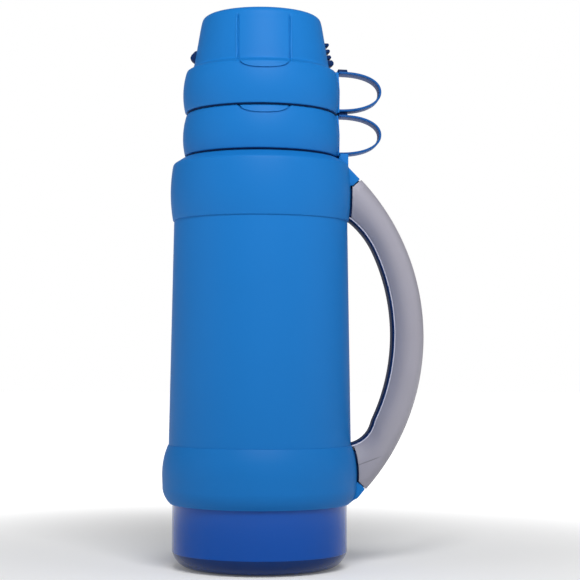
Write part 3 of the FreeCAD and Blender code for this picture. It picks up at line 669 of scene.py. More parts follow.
class Workshop:
    """Turns finished forms into pieces that ride on a body."""

    def __init__(self, wardrobe: Wardrobe) -> None:
        """Keep the finishes at hand."""
        self.wardrobe = wardrobe

    def piece(self, name: str, form: Form, body: str, slot: Slot, replaces: Sequence[str] = (),
              smooth: float = 38.0, shades: Sequence[Slot | PaintedLight] = ()) -> bpy.types.Object:
        """Make an object of a form.

        Args:
            name: Name of the piece.
            form: The shaped form, which is used up.
            body: Body that it rides on.
            slot: Finish.
            replaces: Frame nodes that it stands for.
            smooth: Angle in degrees above which an edge stays sharp.
            shades: Finishes to use instead of the slot's own, such as copies that paint shade or
                highlight.

        Returns:
            The new object.
        """
        mesh = form.data(name)
        mesh.shade_smooth()
        mesh.set_sharp_from_angle(angle=math.radians(smooth))
        obj = bpy.data.objects.new(name, mesh)
        bpy.context.scene.collection.objects.link(obj)
        for wanted in shades or (slot,):
            mesh.materials.append(self.wardrobe.get(wanted))
        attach(obj, body)
        if replaces:
            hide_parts(*replaces)
        LOG.info("%s: %d faces on %s", name, len(mesh.polygons), body)
        return obj

    def carve(self, form: Form, cutters: Sequence[Form], operation: str = "DIFFERENCE") -> Form:
        """Cut forms out of a form, or keep what they share.

        Args:
            form: What is cut; used up.
            cutters: Closed forms; used up.
            operation: DIFFERENCE or INTERSECT.

        Returns:
            A new form in millimetres.
        """
        scene = bpy.context.scene.collection.objects
        base = bpy.data.objects.new("carve_base", form.data("carve_base"))
        scene.link(base)
        tools = []
        for index, cutter in enumerate(cutters):
            tool = bpy.data.objects.new(f"carve_tool_{index}", cutter.data(f"carve_tool_{index}"))
            scene.link(tool)
            tools.append(tool)
            cut = base.modifiers.new(f"cut_{index}", "BOOLEAN")
            cut.object = tool
            cut.operation = operation
            cut.solver = "MANIFOLD"
        bpy.context.view_layer.update()
        depsgraph = bpy.context.evaluated_depsgraph_get()
        result = bpy.data.meshes.new_from_object(base.evaluated_get(depsgraph))
        carved = Form()
        carved.mesh.from_mesh(result)
        bmesh.ops.scale(carved.mesh, vec=(1 / MM,) * 3, verts=carved.mesh.verts[:])
        for obj in [base, *tools]:
            bpy.data.objects.remove(obj)
        return carved

    def dress(self, nodes: dict[str, bpy.types.Object], name: str, slot: Slot) -> None:
        """Give a frame node its finish."""
        data = nodes[name].data
        data.materials.clear()
        data.materials.append(self.wardrobe.get(slot))


def top_of(node: str) -> float:
    """Highest point of a frame node in millimetres."""
    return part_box(node)[1].z / MM


def base_of(node: str) -> float:
    """Lowest point of a frame node in millimetres."""
    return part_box(node)[0].z / MM


# ================================================================ cups
@dataclass
class Cup:
    """Nested drinking cup: bulged ring, dome with a sunk front panel, tongue and lugs."""

    name: str
    rim_radius: float = 52.6
    bulge: float = 1.4
    ring_height: float = 29.7
    foot_radius: float = 47.6
    dome_radius: float = 46.6
    top_radius: float = 41.5
    height: float = 66.3
    edge: float = 6.9
    wall: float = 1.9
    panel_half: float = 17.4
    panel_lines: tuple[tuple[float, float], ...] = (
        (-0.8, -0.3), (-0.25, -0.8), (0.2, -0.8), (0.65, 0.3), (1.1, 0.42), (1.9, 0.0))
    panel_fade: float = 3.6
    tongue_drop: float = 7.6
    tongue_depth: float = 0.95
    tongue_line: float = 1.35
    rim_gap: float = 1.6
    lug_turn: float = 11.0
    lug_span: float = 26.0
    ribs: tuple[tuple[float, float, float], ...] = (
        (36.0, 4.4, 50.3), (40.2, 3.0, 48.6), (44.4, 2.8, 47.7), (48.8, 2.5, 47.0))

    def outside(self) -> Outline:
        """Outer skin from the middle of the top down to the inner edge of the rim."""
        rim, ring, high = self.rim_radius, self.ring_height, self.height + 0.7
        line = Outline(0, high - 0.8).to(self.top_radius - 8.6, high - 0.8, 0.4)
        line.to(self.top_radius - 7.9, high, 0.4).to(self.top_radius - 4.2, high, 1.8)
        line.to(self.top_radius - 0.7, high - 2.1, 2.0)
        line.to(self.top_radius + 0.5, high - self.edge, 2.2)
        line.to(self.dome_radius, ring + 3.2, 2.4).to(self.foot_radius, ring + 0.5, 0.7)
        line.to(rim - 1.1, ring - self.rim_gap, 0.5).to(rim - 0.6, ring - self.rim_gap - 1.1, 0.4)
        line.arc((rim + self.bulge, ring * 0.53), (rim + 0.1, -0.05), 0.3, 26)
        line.to(rim - 0.3, -0.35, 0.2).to(rim - 1.65, -0.25)
        return line.to(rim - self.wall - 0.3, -0.25)

    def inside(self) -> Outline:
        """Inner skin from the rim up to the middle."""
        inner, ring = self.rim_radius - self.wall, self.ring_height
        line = Outline(inner - 0.3, -0.25).to(inner - 0.3, 1.2).to(inner, 2.4)
        line.arc((inner + self.bulge * 0.9, ring * 0.5), (inner - 1.4, ring - 5.7), 1.0)
        line.to(inner - 4.2, ring - 1.7, 1.0).to(self.dome_radius - self.wall, ring + 3.6, 1.5)
        line.to(self.top_radius - self.wall, self.height - 6, 3.0)
        return line.to(self.top_radius - 5.5, self.height - 2.9, 1.5).to(0, self.height - 2.9)

    def shell(self, shop: "Workshop") -> Form:
        """Wall of the cup with its front panel and tongue."""
        form = Form()
        form.turn(self.outside(), FINE_TURN)
        form.tidy()
        self._draw_panel(form.mesh)
        form.turn(self.inside(), FINE_TURN)
        groove = shop.carve(self._groove(), [self._groove_frame()], "INTERSECT").tidy()
        return shop.carve(form.tidy(), [groove])

    def _draw_panel(self, mesh: bmesh.types.BMesh) -> None:
        """Cut a fine groove with a bead beside it down each side of the dome's front."""
        low, high = self.ring_height - 1.5, self.height - self.edge - 0.5
        fade_run, near = self.panel_fade, 0.02
        for side in (-1, 1):
            for step, _ in self.panel_lines:
                self._slice(mesh, Vector((side * (self.panel_half + step), 0, 0)),
                            Vector((1, 0, 0)), low - 1, high + fade_run + 0.5)
        for vert in mesh.verts:
            spot = vert.co
            if spot.y > 0 or not low <= spot.z <= high + fade_run:
                continue
            reach = abs(spot.x) - self.panel_half
            fade = min(1.0, (high + fade_run - spot.z) / fade_run)
            rise = next((rise for step, rise in self.panel_lines if abs(reach - step) < near), 0.0)
            if reach < self.panel_lines[0][0]:
                rise = self.panel_lines[0][1]
            spot += Vector((spot.x, spot.y, 0)).normalized() * rise * fade

    def _groove(self) -> Form:
        """Depth of the line round the tongue, before it is cut to its outline."""
        rim, ring, depth = self.rim_radius, self.ring_height, self.tongue_depth
        low = ring - self.tongue_drop - 1
        section = [(rim + 1.0 - depth, low), (rim + 6, low), (rim + 6, ring + 2.6),
                   (self.dome_radius - 0.15, ring + 2.6), (self.dome_radius + 0.25, ring + 0.9),
                   (rim - 0.9 - depth, ring - 2.4), (rim + 0.25 - depth, ring - 5.4)]
        return Form().sector(section, -90, 60, 48).tidy()

    def _groove_frame(self) -> Form:
        """Upright U-shaped band that bounds the tongue, seen from the front."""
        ring = self.ring_height
        rims = []
        steps = 24
        for inset in (0.0, self.tongue_line):
            half, drop = self.panel_half + 0.1 - inset, self.tongue_drop - inset
            line = [(half, ring + 1.4), (half, ring - 0.6)]
            for step in range(1, steps):
                angle = math.pi * step / steps
                line.append((half * math.copysign(abs(math.cos(angle)) ** 0.8, math.cos(angle)),
                             ring - 0.6 - (drop - 0.6) * math.sin(angle) ** 0.9))
            rims.append(line + [(-half, ring - 0.6), (-half, ring + 1.4)])
        return Form().slab(rims[0] + rims[1][::-1], 160).tidy()

    @staticmethod
    def _slice(mesh: bmesh.types.BMesh, spot: Vector, normal: Vector, low: float,
               high: float) -> None:
        """Cut edges along a plane where the front skin lies between two heights."""
        faces = [face for face in mesh.faces
                 if face.calc_center_median().y < 0 and low <= face.calc_center_median().z <= high]
        geom = faces + list({edge for face in faces for edge in face.edges})
        geom += list({vert for face in faces for vert in face.verts})
        bmesh.ops.bisect_plane(mesh, geom=geom, dist=0.01, plane_co=spot, plane_no=normal)

    def lugs(self) -> Form:
        """Snap ribs on the handle side and the hooked lug opposite."""
        form = Form()
        for middle, thick, tip in self.ribs:
            half = thick / 2 - 0.2
            inner = self.dome_radius - 3.2
            section = [(inner, middle - half), (tip - half * 0.7, middle - half),
                       (tip - 0.1, middle - half * 0.5), (tip, middle + half * 0.2),
                       (tip - half * 0.6, middle + half), (inner, middle + half)]
            form.sector(section, self.lug_turn, self.lug_span)
        hook = [(44.2, 43.2), (46.0, 43.0), (48.6, 40.2), (49.4, 38.4), (49.0, 37.2),
                (47.6, 36.2), (46.6, 35.0), (44.6, 34.9)]
        form.sector(hook, 180 - self.lug_turn, self.lug_span)
        return form.tidy().soften(0.35, 30)

    def build(self, shop: Workshop) -> None:
        """Make the cup's pieces where the frame has its node."""
        seat = base_of(self.name)
        wall = self.shell(shop).lift(seat)
        shop.piece(f"{self.name}_wall", wall, self.name, Slot.SOFT_BLUE, [self.name], 32)
        # Lugs in dark navy: painted shade, as they sit on the shaded far side of the dome.
        shop.piece(f"{self.name}_lugs", self.lugs().lift(seat), self.name, Slot.NAVY_CORE)
        # A dark ring under the rim as painted shadow in the gap.
        shop.piece(f"{self.name}_rim_seat", self.painted_rim_shadow().lift(seat), self.name, Slot.NAVY_CORE)

    def painted_rim_shadow(self) -> Form:
        """Dark ring under the rim: a painted shadow that fills the gap between rim and ring."""
        inner, outer = self.rim_radius - 2.1, self.rim_radius - 1.5
        line = Outline(inner, -1.2).to(outer, -1.3).to(outer, -0.1)
        return Form().turn(line.to(inner, -0.1).to(inner, -1.2)).tidy()


@dataclass
class FingerLoop:
    """Strip bent into a D on the side of a cup, with a stop tab on its upper root."""

    name: str
    root: float = 53.4
    reach: float = 29.6
    half: float = 13.9
    middle: float = 15.3
    thick: float = 1.5
    width: float = 14.0
    tab_length: float = 6.5

    def band(self, inset: float) -> list[Point]:
        """Half oval standing on the cup, moved inwards by an inset."""
        line = []
        count = 40
        for step in range(count + 1):
            angle = math.pi * step / count
            across = (self.reach - inset) * math.sin(angle) ** 0.86
            up = (self.half - inset) * math.copysign(abs(math.cos(angle)) ** 0.94, math.cos(angle))
            line.append((self.root + across, self.middle + up))
        return line

    def build(self, shop: Workshop) -> None:
        """Make the loop where the frame has its node."""
        body = self.name.removesuffix("_loop")
        seat = base_of(body)
        form = Form()
        _, outer = form.wire(self.band(0.0))
        _, inner = form.wire(self.band(self.thick))
        made = bmesh.ops.bridge_loops(form.mesh, edges=outer + inner)
        raised = bmesh.ops.extrude_face_region(form.mesh, geom=made["faces"])
        moved = [item for item in raised["geom"] if isinstance(item, bmesh.types.BMVert)]
        bmesh.ops.translate(form.mesh, vec=(0, self.width, 0), verts=moved)
        bmesh.ops.translate(form.mesh, vec=(0, -self.width / 2, 0), verts=form.mesh.verts[:])
        form.tidy().soften(0.35, 50)
        top = self.middle + self.half
        tab = [(self.root - 0.5, top - 0.8), (self.root + self.tab_length, top - 0.8),
               (self.root + self.tab_length - 0.6, top + 1.7), (self.root - 0.5, top + 1.9)]
        block = Form().slab(tab, self.width * 0.72).tidy().soften(0.25, 40)
        # The loop takes a darker copy of the soft blue as painted shade.
        shop.piece(f"{body}_finger_loop", form.lift(seat), body, Slot.SOFT_BLUE, [self.name],
                   shades=[PaintedLight.LOOP_BLUE])
        # The tab in dark navy: painted shade where the loop's root meets the cup.
        shop.piece(f"{body}_loop_tab", block.lift(seat), body, Slot.NAVY_CORE)
        shop.piece(f"{body}_loop_pad", self._pad().lift(seat), body, Slot.SOFT_BLUE)

    def _pad(self) -> Form:
        """Flat upright face on the ring that the strip grows out of."""
        outline = Outline(self.root - 4.0, 0.5).to(self.root + 0.4, 0.5, 0.4)
        outline.to(self.root + 0.55, self.middle).to(self.root - 0.3, 28.6, 1.0)
        outline.to(self.root - 4.0, 28.6)
        return Form().slab(outline.points(), self.width + 1.0).tidy().soften(0.6, 40, 3)


# ================================================================ body
@dataclass
class Body:
    """Shell, two bulged collars, their bosses and the glossy base cup."""

    shell_low: float = 62.5
    shell_high: float = 59.8
    wall: float = 2.2
    low_bulge: float = 66.9
    high_bulge: float = 62.3
    ledge: float = 53.4
    ledge_bore: float = 46.6
    base_radius: float = 59.9
    base_round: float = 11.5
    boss_width: float = 26.0
    boss_corner: float = 37.2
    boss_inset: float = 0.3
    spigot_height: float = 17.2
    lip_lift: float = 0.9
    tube_height: float = 153.4
    low_edge: float = field(init=False)
    low_top: float = field(init=False)
    high_edge: float = field(init=False)
    seat: float = field(init=False)
    boss_face: float = field(init=False)
    boss_top: float = field(init=False)

    def __post_init__(self) -> None:
        """Read the collars' edges from the frame."""
        self.low_edge = top_of("base_cup") - self.spigot_height + self.lip_lift
        self.low_top = base_of("upper_collar") - self.tube_height
        self.high_edge = base_of("upper_collar")
        self.seat = base_of("lower_cup") - 0.3
        self.boss_face = self.shell_high - self.boss_inset
        self.boss_top = self.high_edge + self.boss_corner

    def collar_outer(self, low: bool, gap: float = 0.0) -> Outline:
        """Outer face of a collar from its lower edge up, moved outwards by a gap."""
        if low:
            edge, top, bulge = self.low_edge, self.low_top, self.low_bulge + gap
            line = Outline(self.base_radius + 1.0 + gap, edge + 0.25)
            line.to(self.base_radius + 1.5 + gap, edge)
            line.arc((self.base_radius + 4.8 + gap, edge + 4.3), (bulge - 0.2, edge + 14.2), 4.0)
            line.arc((bulge, edge + 21.8), (bulge - 0.6, top - 11.2), 3.5)
            return line.arc((bulge - 2.4, top - 4.3), (self.shell_low + 0.35 + gap, top), 0.3)
        edge = self.high_edge
        line = Outline(self.shell_high + 0.2 + gap, edge + 0.15)
        line.to(self.shell_high + 0.75 + gap, edge + 0.1, 0.25)
        line.arc((self.high_bulge + gap, edge + 21), (self.shell_high + 0.8 + gap, edge + 38.7),
                 1.6, 26)
        return line.to(self.ledge + gap, self.seat - 1.6, 1.0)

    def lower_collar(self) -> Form:
        """Bulged ring over the foot of the shell."""
        line = self.collar_outer(True)
        line.to(self.shell_low - 1.5, self.low_top - 0.4)
        line.to(self.shell_low - 1.5, self.low_top - 9)
        line.to(self.low_bulge - 3, self.low_edge + 20)
        line.to(self.base_radius + 1.9, self.low_edge + 6)
        line.to(self.base_radius + 0.3, self.low_edge + 2.4)
        line.to(self.base_radius + 0.35, self.low_edge + 0.4).to(*line.spots[0][:2])
        return Form().turn(line).tidy()

    def upper_collar(self) -> Form:
        """Shoulder that the cups sit on."""
        line = self.collar_outer(False)
        line.to(self.ledge - 2.4, self.seat - 1.5, 0.4).to(self.ledge - 3.6, self.seat - 0.1, 0.3)
        line.to(self.ledge_bore + 0.4, self.seat - 0.1, 0.3).to(self.ledge_bore, self.seat - 2.4)
        line.to(self.ledge - 3, self.seat - 3.4).to(self.shell_high - 2.2, self.seat - 10)
        line.to(self.shell_high - 0.05, self.high_edge + 25)
        line.to(self.shell_high - 0.05, self.high_edge + 0.4).to(*line.spots[0][:2])
        return Form().turn(line, FINE_TURN).tidy()

    def tube(self) -> Form:
        """Tapered shell between the collars."""
        low, high = self.low_edge + 2.4, self.high_edge + 25
        line = Outline(self.shell_low - 0.75, low).to(self.shell_low - 0.75, self.low_top - 2)
        line.to(self.shell_low, self.low_top - 1)
        line.to(self.shell_low, self.low_top).to(self.shell_high, self.high_edge)
        line.to(self.shell_high - 0.1, high).to(self.shell_high - self.wall, high)
        line.to(self.shell_high - self.wall, self.high_edge)
        line.to(self.shell_low - self.wall - 0.75, self.low_top)
        line.to(self.shell_low - self.wall - 0.75, low).to(self.shell_low - 0.75, low)
        return Form().turn(line).tidy()

    def base(self) -> Form:
        """Straight polished wall of the base cup."""
        radius, corner, top = self.base_radius, self.base_round, self.low_edge
        line = Outline(radius - 2.8, corner - 0.6).to(radius - 0.25, corner - 0.6, 0.15)
        line.to(radius, corner - 0.2, 0.2).to(radius, top + 0.2, 0.3).to(radius - 0.8, top + 2.2)
        line.to(radius - 0.9, top + 16).to(radius - 2.8, top + 16)
        return Form().turn(line.to(radius - 2.8, corner - 0.6), FINE_TURN).tidy()

    def foot(self) -> Form:
        """Rounded foot with a recessed floor."""
        radius, corner = self.base_radius, self.base_round
        line = Outline(0, 2.5).to(40.5, 2.5, 1.0).to(43.0, 0.3, 0.6).to(44.0, 0.0, 0.5)
        line.to(46.2, 0.0, 0.5)
        line.arc((55.6, 4.0), (radius - 0.4, corner - 1.0), 0.0, 18)
        line.to(radius - 0.45, corner + 0.4).to(radius - 2.8, corner + 0.4)
        line.to(48.0, 5.0).to(0, 5.0)
        return Form().turn(line, FINE_TURN).tidy()

    def bosses(self, shop: Workshop) -> None:
        """Roots of both collars that the handle's ends sit against."""
        face, corner = self.boss_face, self.boss_top
        top = base_of("lower_cup_loop") - 0.35
        upper = Outline(self.ledge - 0.6, self.seat - 2.5)
        upper.to(self.ledge + 0.2, self.seat + 0.2, 0.2)
        upper.to(self.ledge + 0.5, top, 0.3).to(face, top, 0.8).to(face, corner, 0.8)
        upper.to(face + 8.0, corner - 8.2, 0.6).to(self.high_bulge + 0.6, corner - 12.6, 0.8)
        upper.to(self.high_bulge - 3, corner - 13).to(self.high_bulge - 6, corner - 2)
        upper.to(*upper.spots[0][:2])
        form = Form().slab(upper.points()[:-1], self.boss_width).tidy().soften(1.0, 40, 3)
        shop.piece("shoulder_boss", form, "flask", Slot.SOFT_BLUE)
        edge = self.low_edge
        lower = Outline(self.base_radius + 0.7, edge + 0.5)
        lower.to(self.base_radius + 3.6, edge + 2.8, 1.0)
        lower.to(self.base_radius + 6.4, edge + 4.1, 1.2)
        lower.to(self.base_radius + 11.5, edge + 10.4, 0.7)
        lower.to(self.low_bulge, edge + 14.9, 0.8)
        lower.to(self.low_bulge - 4, edge + 15.0).to(self.low_bulge - 5, edge + 6)
        lower.to(*lower.spots[0][:2])
        form = Form().slab(lower.points()[:-1], self.boss_width).tidy().soften(1.0, 40, 3)
        shop.piece("foot_boss", form, "flask", Slot.SOFT_BLUE)

    def build(self, shop: Workshop) -> None:
        """Make the body's pieces."""
        shop.piece("shoulder_collar", self.upper_collar(), "flask", Slot.SOFT_BLUE,
                   ["upper_collar"], 30)
        shop.piece("foot_collar", self.lower_collar(), "flask", Slot.SOFT_BLUE,
                   ["lower_collar"], 30)
        shop.piece("body_tube", self.tube(), "flask", Slot.SOFT_BLUE, ["body_shell"])
        shop.piece("base_barrel", self.base(), "flask", Slot.GLOSS_BLUE, ["base_cup"], 30)
        # The foot takes a darker copy of the gloss finish as painted shade.
        shop.piece("base_foot", self.foot(), "flask", Slot.GLOSS_BLUE, smooth=30,
                   shades=[PaintedLight.FOOT_PAINTED_SHADE])
        self.bosses(shop)


# ================================================================ handle
@dataclass
class Handle:
    """Bowed side handle: spine on the hand side, painted deep navy as its shade, grey cover over
    the rest.
    """

    body: Body
    apex_outer: float = 112.9
    apex_inner: float = 90.6
    middle: float = 159.0
    outer_top: Point = (58.0, 277.6)
    outer_low: Point = (64.4, 44.2)
    half_width: float = 15.0
    edge_width: float = 8.6
    spine_half: float = 8.2
    spine_thick: float = 1.6
    stations: int = 72
    root_gap: float = 1.7
    root_width: float = 19.0

    def outer_line(self, inset: float) -> Outline:
        """Outer side from the top root down, moved towards the flask by an inset."""
        line = Outline(self.outer_top[0] - inset, self.outer_top[1])
        return line.arc((self.apex_outer - inset, self.middle),
                        (self.outer_low[0] - inset, self.outer_low[1]), 0, 96)

    def inner_line(self, inset: float) -> Outline:
        """Hand side from the top root down, moved away from the flask by an inset."""
        low, high = self.body.low_top, self.body.high_edge
        shell_low, shell_high = self.body.shell_low, self.body.shell_high
        line = Outline(shell_high - 3.5, high + 2.5 + inset)
        line.to(shell_high + 1.6, high + 0.6 + inset, 0.0)
        line.arc((shell_high + 10.0 + inset * 0.7, high - 7.8 + inset * 0.6),
                 (shell_high + 16.9 + inset, high - 18.1), 2.0, 16)
        line.arc((self.apex_inner + inset, self.middle), (shell_low + 14.6 + inset, low + 16.4),
                 2.0, 64)
        line.arc((shell_low + 8.6 + inset * 0.7, low + 5.6 - inset * 0.6),
                 (shell_low - 0.2, low + 1.2 - inset), 0.0, 16)
        return line.to(shell_low - 5, low + 0.6 - inset)

    @staticmethod
    def spread(line: Outline, count: int) -> list[Vector]:
        """Points at even steps along a line.

        Args:
            line: The line.
            count: Number of steps.

        Returns:
            One more point than steps.
        """
        raw = line.points(8)
        marks = [0.0]
        for first, second in zip(raw, raw[1:]):
            marks.append(marks[-1] + (second - first).length)
        spots = []
        index = 0
        for step in range(count + 1):
            goal = marks[-1] * step / count
            while index < len(raw) - 2 and marks[index + 1] < goal:
                index += 1
            share = (goal - marks[index]) / max(marks[index + 1] - marks[index], 1e-9)
            spots.append(raw[index].lerp(raw[index + 1], share))
        return spots

    def cover_width(self, share: float) -> float:
        """Half width of the cover between its inner edge, share 0, and its crown, share 1."""
        swell = 0.5
        if share < swell:
            rise = math.sin(math.pi / 2 * share / swell)
            return self.edge_width + (self.half_width - self.edge_width) * rise
        out = (share - swell) / (1 - swell)
        return self.half_width * max(0.0, 1 - out ** 2.5) ** (1 / 2.5)

    def cover(self) -> Form:
        """Solid grey cover, before its roots are cut to the collars."""
        inner = self.spread(self.inner_line(self.spine_thick), self.stations)
        outer = self.spread(self.outer_line(0.0), self.stations)
        shares = [0.0, 0.02, 0.08, 0.16, 0.26, 0.38, 0.5, 0.62, 0.72, 0.81, 0.88, 0.935, 0.97,
                  0.99]
        sections = []
        for low, high in zip(inner, outer):
            flank = []
            for share in shares:
                spot = low.lerp(high, share)
                width = self.cover_width(share) - (0.5 if share == 0.0 else 0.0)
                flank.append(Vector((spot.x, -width, spot.y)))
            crown = Vector((high.x, 0, high.y))
            back = [Vector((spot.x, -spot.y, spot.z)) for spot in reversed(flank)]
            sections.append(flank + [crown] + back)
        return Form().loft(sections).tidy()

    def spine(self) -> Form:
        """Strip along the hand side, painted deep navy as the shade that falls there."""
        inner = self.spread(self.inner_line(0.0), self.stations)
        buried = self.spread(self.inner_line(self.spine_thick + 1.5), self.stations)
        half, corner = self.spine_half, 1.3
        sections = []
        for low, high in zip(inner, buried):
            across = high - low
            rows = [(0.0, half - corner * 1.6), (0.05, half - corner * 0.7),
                    (0.18, half - corner * 0.15), (0.34, half), (1.0, half)]
            side = []
            for share, width in rows:
                spot = low + across * share
                side.append(Vector((spot.x, -width, spot.y)))
            back = [Vector((spot.x, -spot.y, spot.z)) for spot in reversed(side)]
            sections.append(side + back)
        return Form().loft(sections).tidy()

    def bead(self) -> Form:
        """Thin lip of the cover that stands out beside the spine, finished paler as a painted
        highlight.
        """
        inner = self.spread(self.inner_line(self.spine_thick - 0.25), self.stations)
        buried = self.spread(self.inner_line(self.spine_thick + 0.7), self.stations)
        half = self.edge_width + 0.35
        sections = []
        for low, high in zip(inner, buried):
            side = [Vector((low.x, -half + 0.3, low.y)),
                    Vector(((low.x + high.x) / 2, -half, (low.y + high.y) / 2)),
                    Vector((high.x, -half + 0.2, high.y))]
            sections.append(side + [Vector((spot.x, -spot.y, spot.z)) for spot in reversed(side)])
        return Form().loft(sections).tidy()

    def roots(self) -> tuple[list[Point], list[Point]]:
        """Outlines of the core's two ends, which cross the gaps between cover and collars."""
        body = self.body
        corner, face = body.boss_top, body.boss_face
        top = [(face - 6, body.high_edge + 3.0), (face + 4.0, body.high_edge + 4.0),
               (face + 9.0, body.high_edge + 10.0), (face + 12.0, corner - 13.8),
               (face + 9.4, corner - 10.4), (face + 8.3, corner - 9.0), (face + 5.5, corner - 8.6),
               (face - 6, corner - 5)]
        foot_x, foot_z = body.low_bulge, body.low_edge + 15.7
        foot = [(foot_x - 7, foot_z - 7), (foot_x + 3.2, foot_z - 5.2),
                (foot_x + 8.0, foot_z + 3.0), (foot_x + 5.0, foot_z + 14.0),
                (foot_x - 1.0, body.low_top - 4.0), (foot_x - 7, body.low_top - 4.0)]
        return top, foot

    def cutters(self, gap: float, ends: bool) -> list[Form]:
        """Room that the body needs: collars and shell, and the bosses past the cover's ends."""
        body = self.body
        room = Outline(0, body.low_edge - 6)
        room.to(body.base_radius + gap, body.low_edge - 6)
        room.to(body.base_radius + gap, body.low_edge)
        room.spots.extend(body.collar_outer(True, gap).spots[1:])
        room.to(body.shell_high + min(gap, 0.0), body.high_edge)
        room.spots.extend(body.collar_outer(False, gap).spots[1:])
        room.to(0, body.seat)
        forms = [Form().turn(room, 128).tidy()]
        if ends:
            corner, face = body.boss_top, body.boss_face
            top = [(40.0, corner - 13.6), (body.high_bulge + 0.6, corner - 13.6),
                   (face + 8.0, corner - 9.2), (96.0, corner + 8), (96.0, corner + 60),
                   (40.0, corner + 60)]
            low_x, low_z = body.low_bulge, body.low_edge + 15.7
            low = [(40.0, low_z), (low_x, low_z), (body.base_radius + 11.5, low_z - 4.5),
                   (low_x + 30, low_z - 30), (low_x + 30, -20.0), (40.0, -20.0)]
            forms += [Form().slab(top, 60).tidy(), Form().slab(low, 60).tidy()]
        return forms

    def build(self, shop: Workshop) -> None:
        """Make the handle's cover, spine, lip and root blocks."""
        cover = shop.carve(self.cover(), self.cutters(self.root_gap, True))
        # The cover's bevels take the paler grip finish as a painted highlight along its edges.
        shop.piece("handle_cover", cover.tidy().soften(0.6, 42, 2, lip=True), "flask",
                   Slot.GREY_GRIP, ["handle_grip"], shades=[Slot.GREY_GRIP, PaintedLight.GRIP_PAINTED_HIGHLIGHT])
        spine = shop.carve(self.spine(), self.cutters(-0.2, False))
        # The spine in dark navy: painted shade on the hand side.
        shop.piece("handle_spine", spine.tidy(), "flask", Slot.NAVY_CORE, ["handle_core"])
        bead = shop.carve(self.bead(), self.cutters(0.4, False))
        # The bead takes the paler grip finish as a painted highlight.
        shop.piece("handle_bead", bead.tidy(), "flask", Slot.GREY_GRIP,
                   shades=[PaintedLight.GRIP_PAINTED_HIGHLIGHT])
        for name, root in zip(("top", "foot"), self.roots()):
            # Root blocks in dark navy: painted shade in the gaps between cover and collars.
            block = Form().slab(root, self.root_width).tidy().soften(0.35, 40)
            shop.piece(f"handle_{name}_root", block, "flask", Slot.NAVY_CORE)


# ================================================================ inner parts
@dataclass
class InnerParts:
    """Frame nodes that show only when the flask is opened, and their finishes."""

    slots: dict[str, Slot] = field(default_factory=lambda: {
        "outer_glass": Slot.SILVERED_GLASS, "inner_glass": Slot.SILVERED_GLASS,
        "glass_spacers": Slot.FELT_PAD, "support_cushion": Slot.BLACK_RUBBER,
        "neck_gasket": Slot.SILICONE, "neck_ring": Slot.PALE_PLASTIC,
        "stopper_body": Slot.PALE_PLASTIC, "stopper_cap": Slot.SOFT_BLUE,
        "release_button": Slot.GREY_GRIP, "valve_stem": Slot.PALE_PLASTIC,
        "valve_seal": Slot.SILICONE, "valve_spring": Slot.STEEL, "plug_seal": Slot.SILICONE,
        "handle_screws": Slot.STEEL,
    })

    def build(self, shop: Workshop, nodes: dict[str, bpy.types.Object]) -> None:
        """Dress every node that stays."""
        for name, slot in self.slots.items():
            shop.dress(nodes, name, slot)


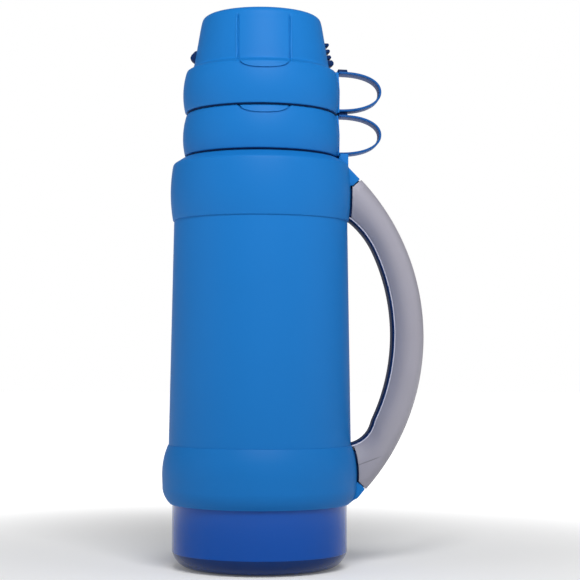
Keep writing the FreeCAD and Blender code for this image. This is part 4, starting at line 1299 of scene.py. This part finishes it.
# ================================================================ studio
@dataclass
class Studio:
    """Pale floor that glows as painted light away from the flask, soft lights and the camera."""

    distance: float = 1.09
    azimuth: float = -2.3
    eye_height: float = 0.1406
    lens: float = 98.07
    aim_height: float = 0.190
    pan: float = 1.07
    roll: float = 0.2
    room_light: float = 0.24

    def floor(self) -> None:
        """Pale floor whose painted glow grows away from the flask until it meets the white
        backdrop.
        """
        form = Form()
        bmesh.ops.create_grid(form.mesh, x_segments=1, y_segments=1, size=6000)
        mesh = form.data("studio_floor")
        obj = bpy.data.objects.new("studio_floor", mesh)
        bpy.context.scene.collection.objects.link(obj)
        material = bpy.data.materials.new("studio_floor")
        book = NodeBook(material)
        tone = book.noise(3, 2, 0.5)
        across, back = book.place("X"), book.place("Y")
        # Painted light: the floor's glow rises from dim near the flask to full white about 0.6 m
        # away.
        away = (across * across + back * back).band(0.0, 0.36)
        book.shade(Base_Color=book.blend(tone, (0.80, 0.80, 0.80, 1), (0.83, 0.83, 0.83, 1)),
                   Roughness=0.9, Specular_IOR_Level=0.1,
                   Emission_Color=book.blend(away, (0.12, 0.12, 0.12, 1), (1, 1, 1, 1)),
                   Emission_Strength=0.85)
        mesh.materials.append(material)

    def lamp(self, name: str, spot: Sequence[float], size: tuple[float, float], power: float,
             aim: float = 0.2) -> None:
        """Soft rectangular lamp that faces the flask.

        Args:
            name: Name of the lamp.
            spot: Place in metres.
            size: Width and height in metres.
            power: Watts.
            aim: Height on the flask's axis that it faces, in metres.
        """
        data = bpy.data.lights.new(name, "AREA")
        data.shape = "RECTANGLE"
        data.size, data.size_y = size
        data.energy = power
        obj = bpy.data.objects.new(name, data)
        obj.location = spot
        ahead = Vector((0.02, 0, aim)) - Vector(spot)
        obj.rotation_euler = ahead.to_track_quat("-Z", "Y").to_euler()
        bpy.context.scene.collection.objects.link(obj)

    def world(self) -> None:
        """Soft grey surroundings with a white backdrop behind the flask."""
        world = bpy.data.worlds.new("studio")
        world.use_nodes = True
        tree = world.node_tree
        facing = tree.nodes.new("ShaderNodeTexCoord").outputs["Generated"]
        parts = tree.nodes.new("ShaderNodeSeparateXYZ")
        tree.links.new(facing, parts.inputs[0])
        ramp = tree.nodes.new("ShaderNodeMapRange")
        ramp.interpolation_type = "SMOOTHSTEP"
        tree.links.new(parts.outputs["Y"], ramp.inputs["Value"])
        for socket, value in (("From Min", 0.88), ("From Max", 0.95),
                              ("To Min", self.room_light), ("To Max", 1.0)):
            ramp.inputs[socket].default_value = value
        tree.links.new(ramp.outputs[0], tree.nodes["Background"].inputs["Color"])
        bpy.context.scene.world = world

    def camera(self) -> None:
        """Long lens a little to the left of the handle's plane and below the flask's middle."""
        turn = math.radians(self.azimuth)
        spot = Vector((math.sin(turn), -math.cos(turn), 0)) * self.distance
        spot.z = self.eye_height
        ahead = Vector((0, 0, self.aim_height)) - spot
        ahead.rotate(Matrix.Rotation(-math.radians(self.pan), 4, "Z"))
        data = bpy.data.cameras.new("view")
        data.lens = self.lens
        data.sensor_width = 36
        data.clip_start = 0.01
        obj = bpy.data.objects.new("view", data)
        obj.location = spot
        facing = ahead.to_track_quat("-Z", "Y").to_matrix().to_4x4()
        obj.rotation_euler = (facing @ Matrix.Rotation(math.radians(self.roll), 4, "Z")).to_euler()
        bpy.context.scene.collection.objects.link(obj)
        bpy.context.scene.camera = obj

    def build(self) -> None:
        """Set the stage."""
        self.floor()
        self.world()
        self.lamp("key", (0.08, -0.90, 1.10), (0.7, 0.5), 17.5, 0.95)
        self.lamp("left_box", (-1.05, -0.35, 0.55), (0.7, 0.9), 2.0)
        self.lamp("right_box", (1.05, -0.45, 0.55), (0.7, 0.9), 2.0)
        self.camera()
        bpy.context.scene.view_settings.view_transform = "Standard"


# ================================================================ assembly
def main() -> None:
    """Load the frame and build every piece."""
    logging.basicConfig(level=logging.INFO, format="%(message)s")
    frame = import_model()
    shop = Workshop(Wardrobe())
    body = Body()
    body.build(shop)
    for name in ("lower_cup", "upper_cup"):
        Cup(name).build(shop)
        FingerLoop(f"{name}_loop").build(shop)
    Handle(body).build(shop)
    InnerParts().build(shop, frame["nodes"])
    Studio().build()


if __name__ == "__main__":
    main()
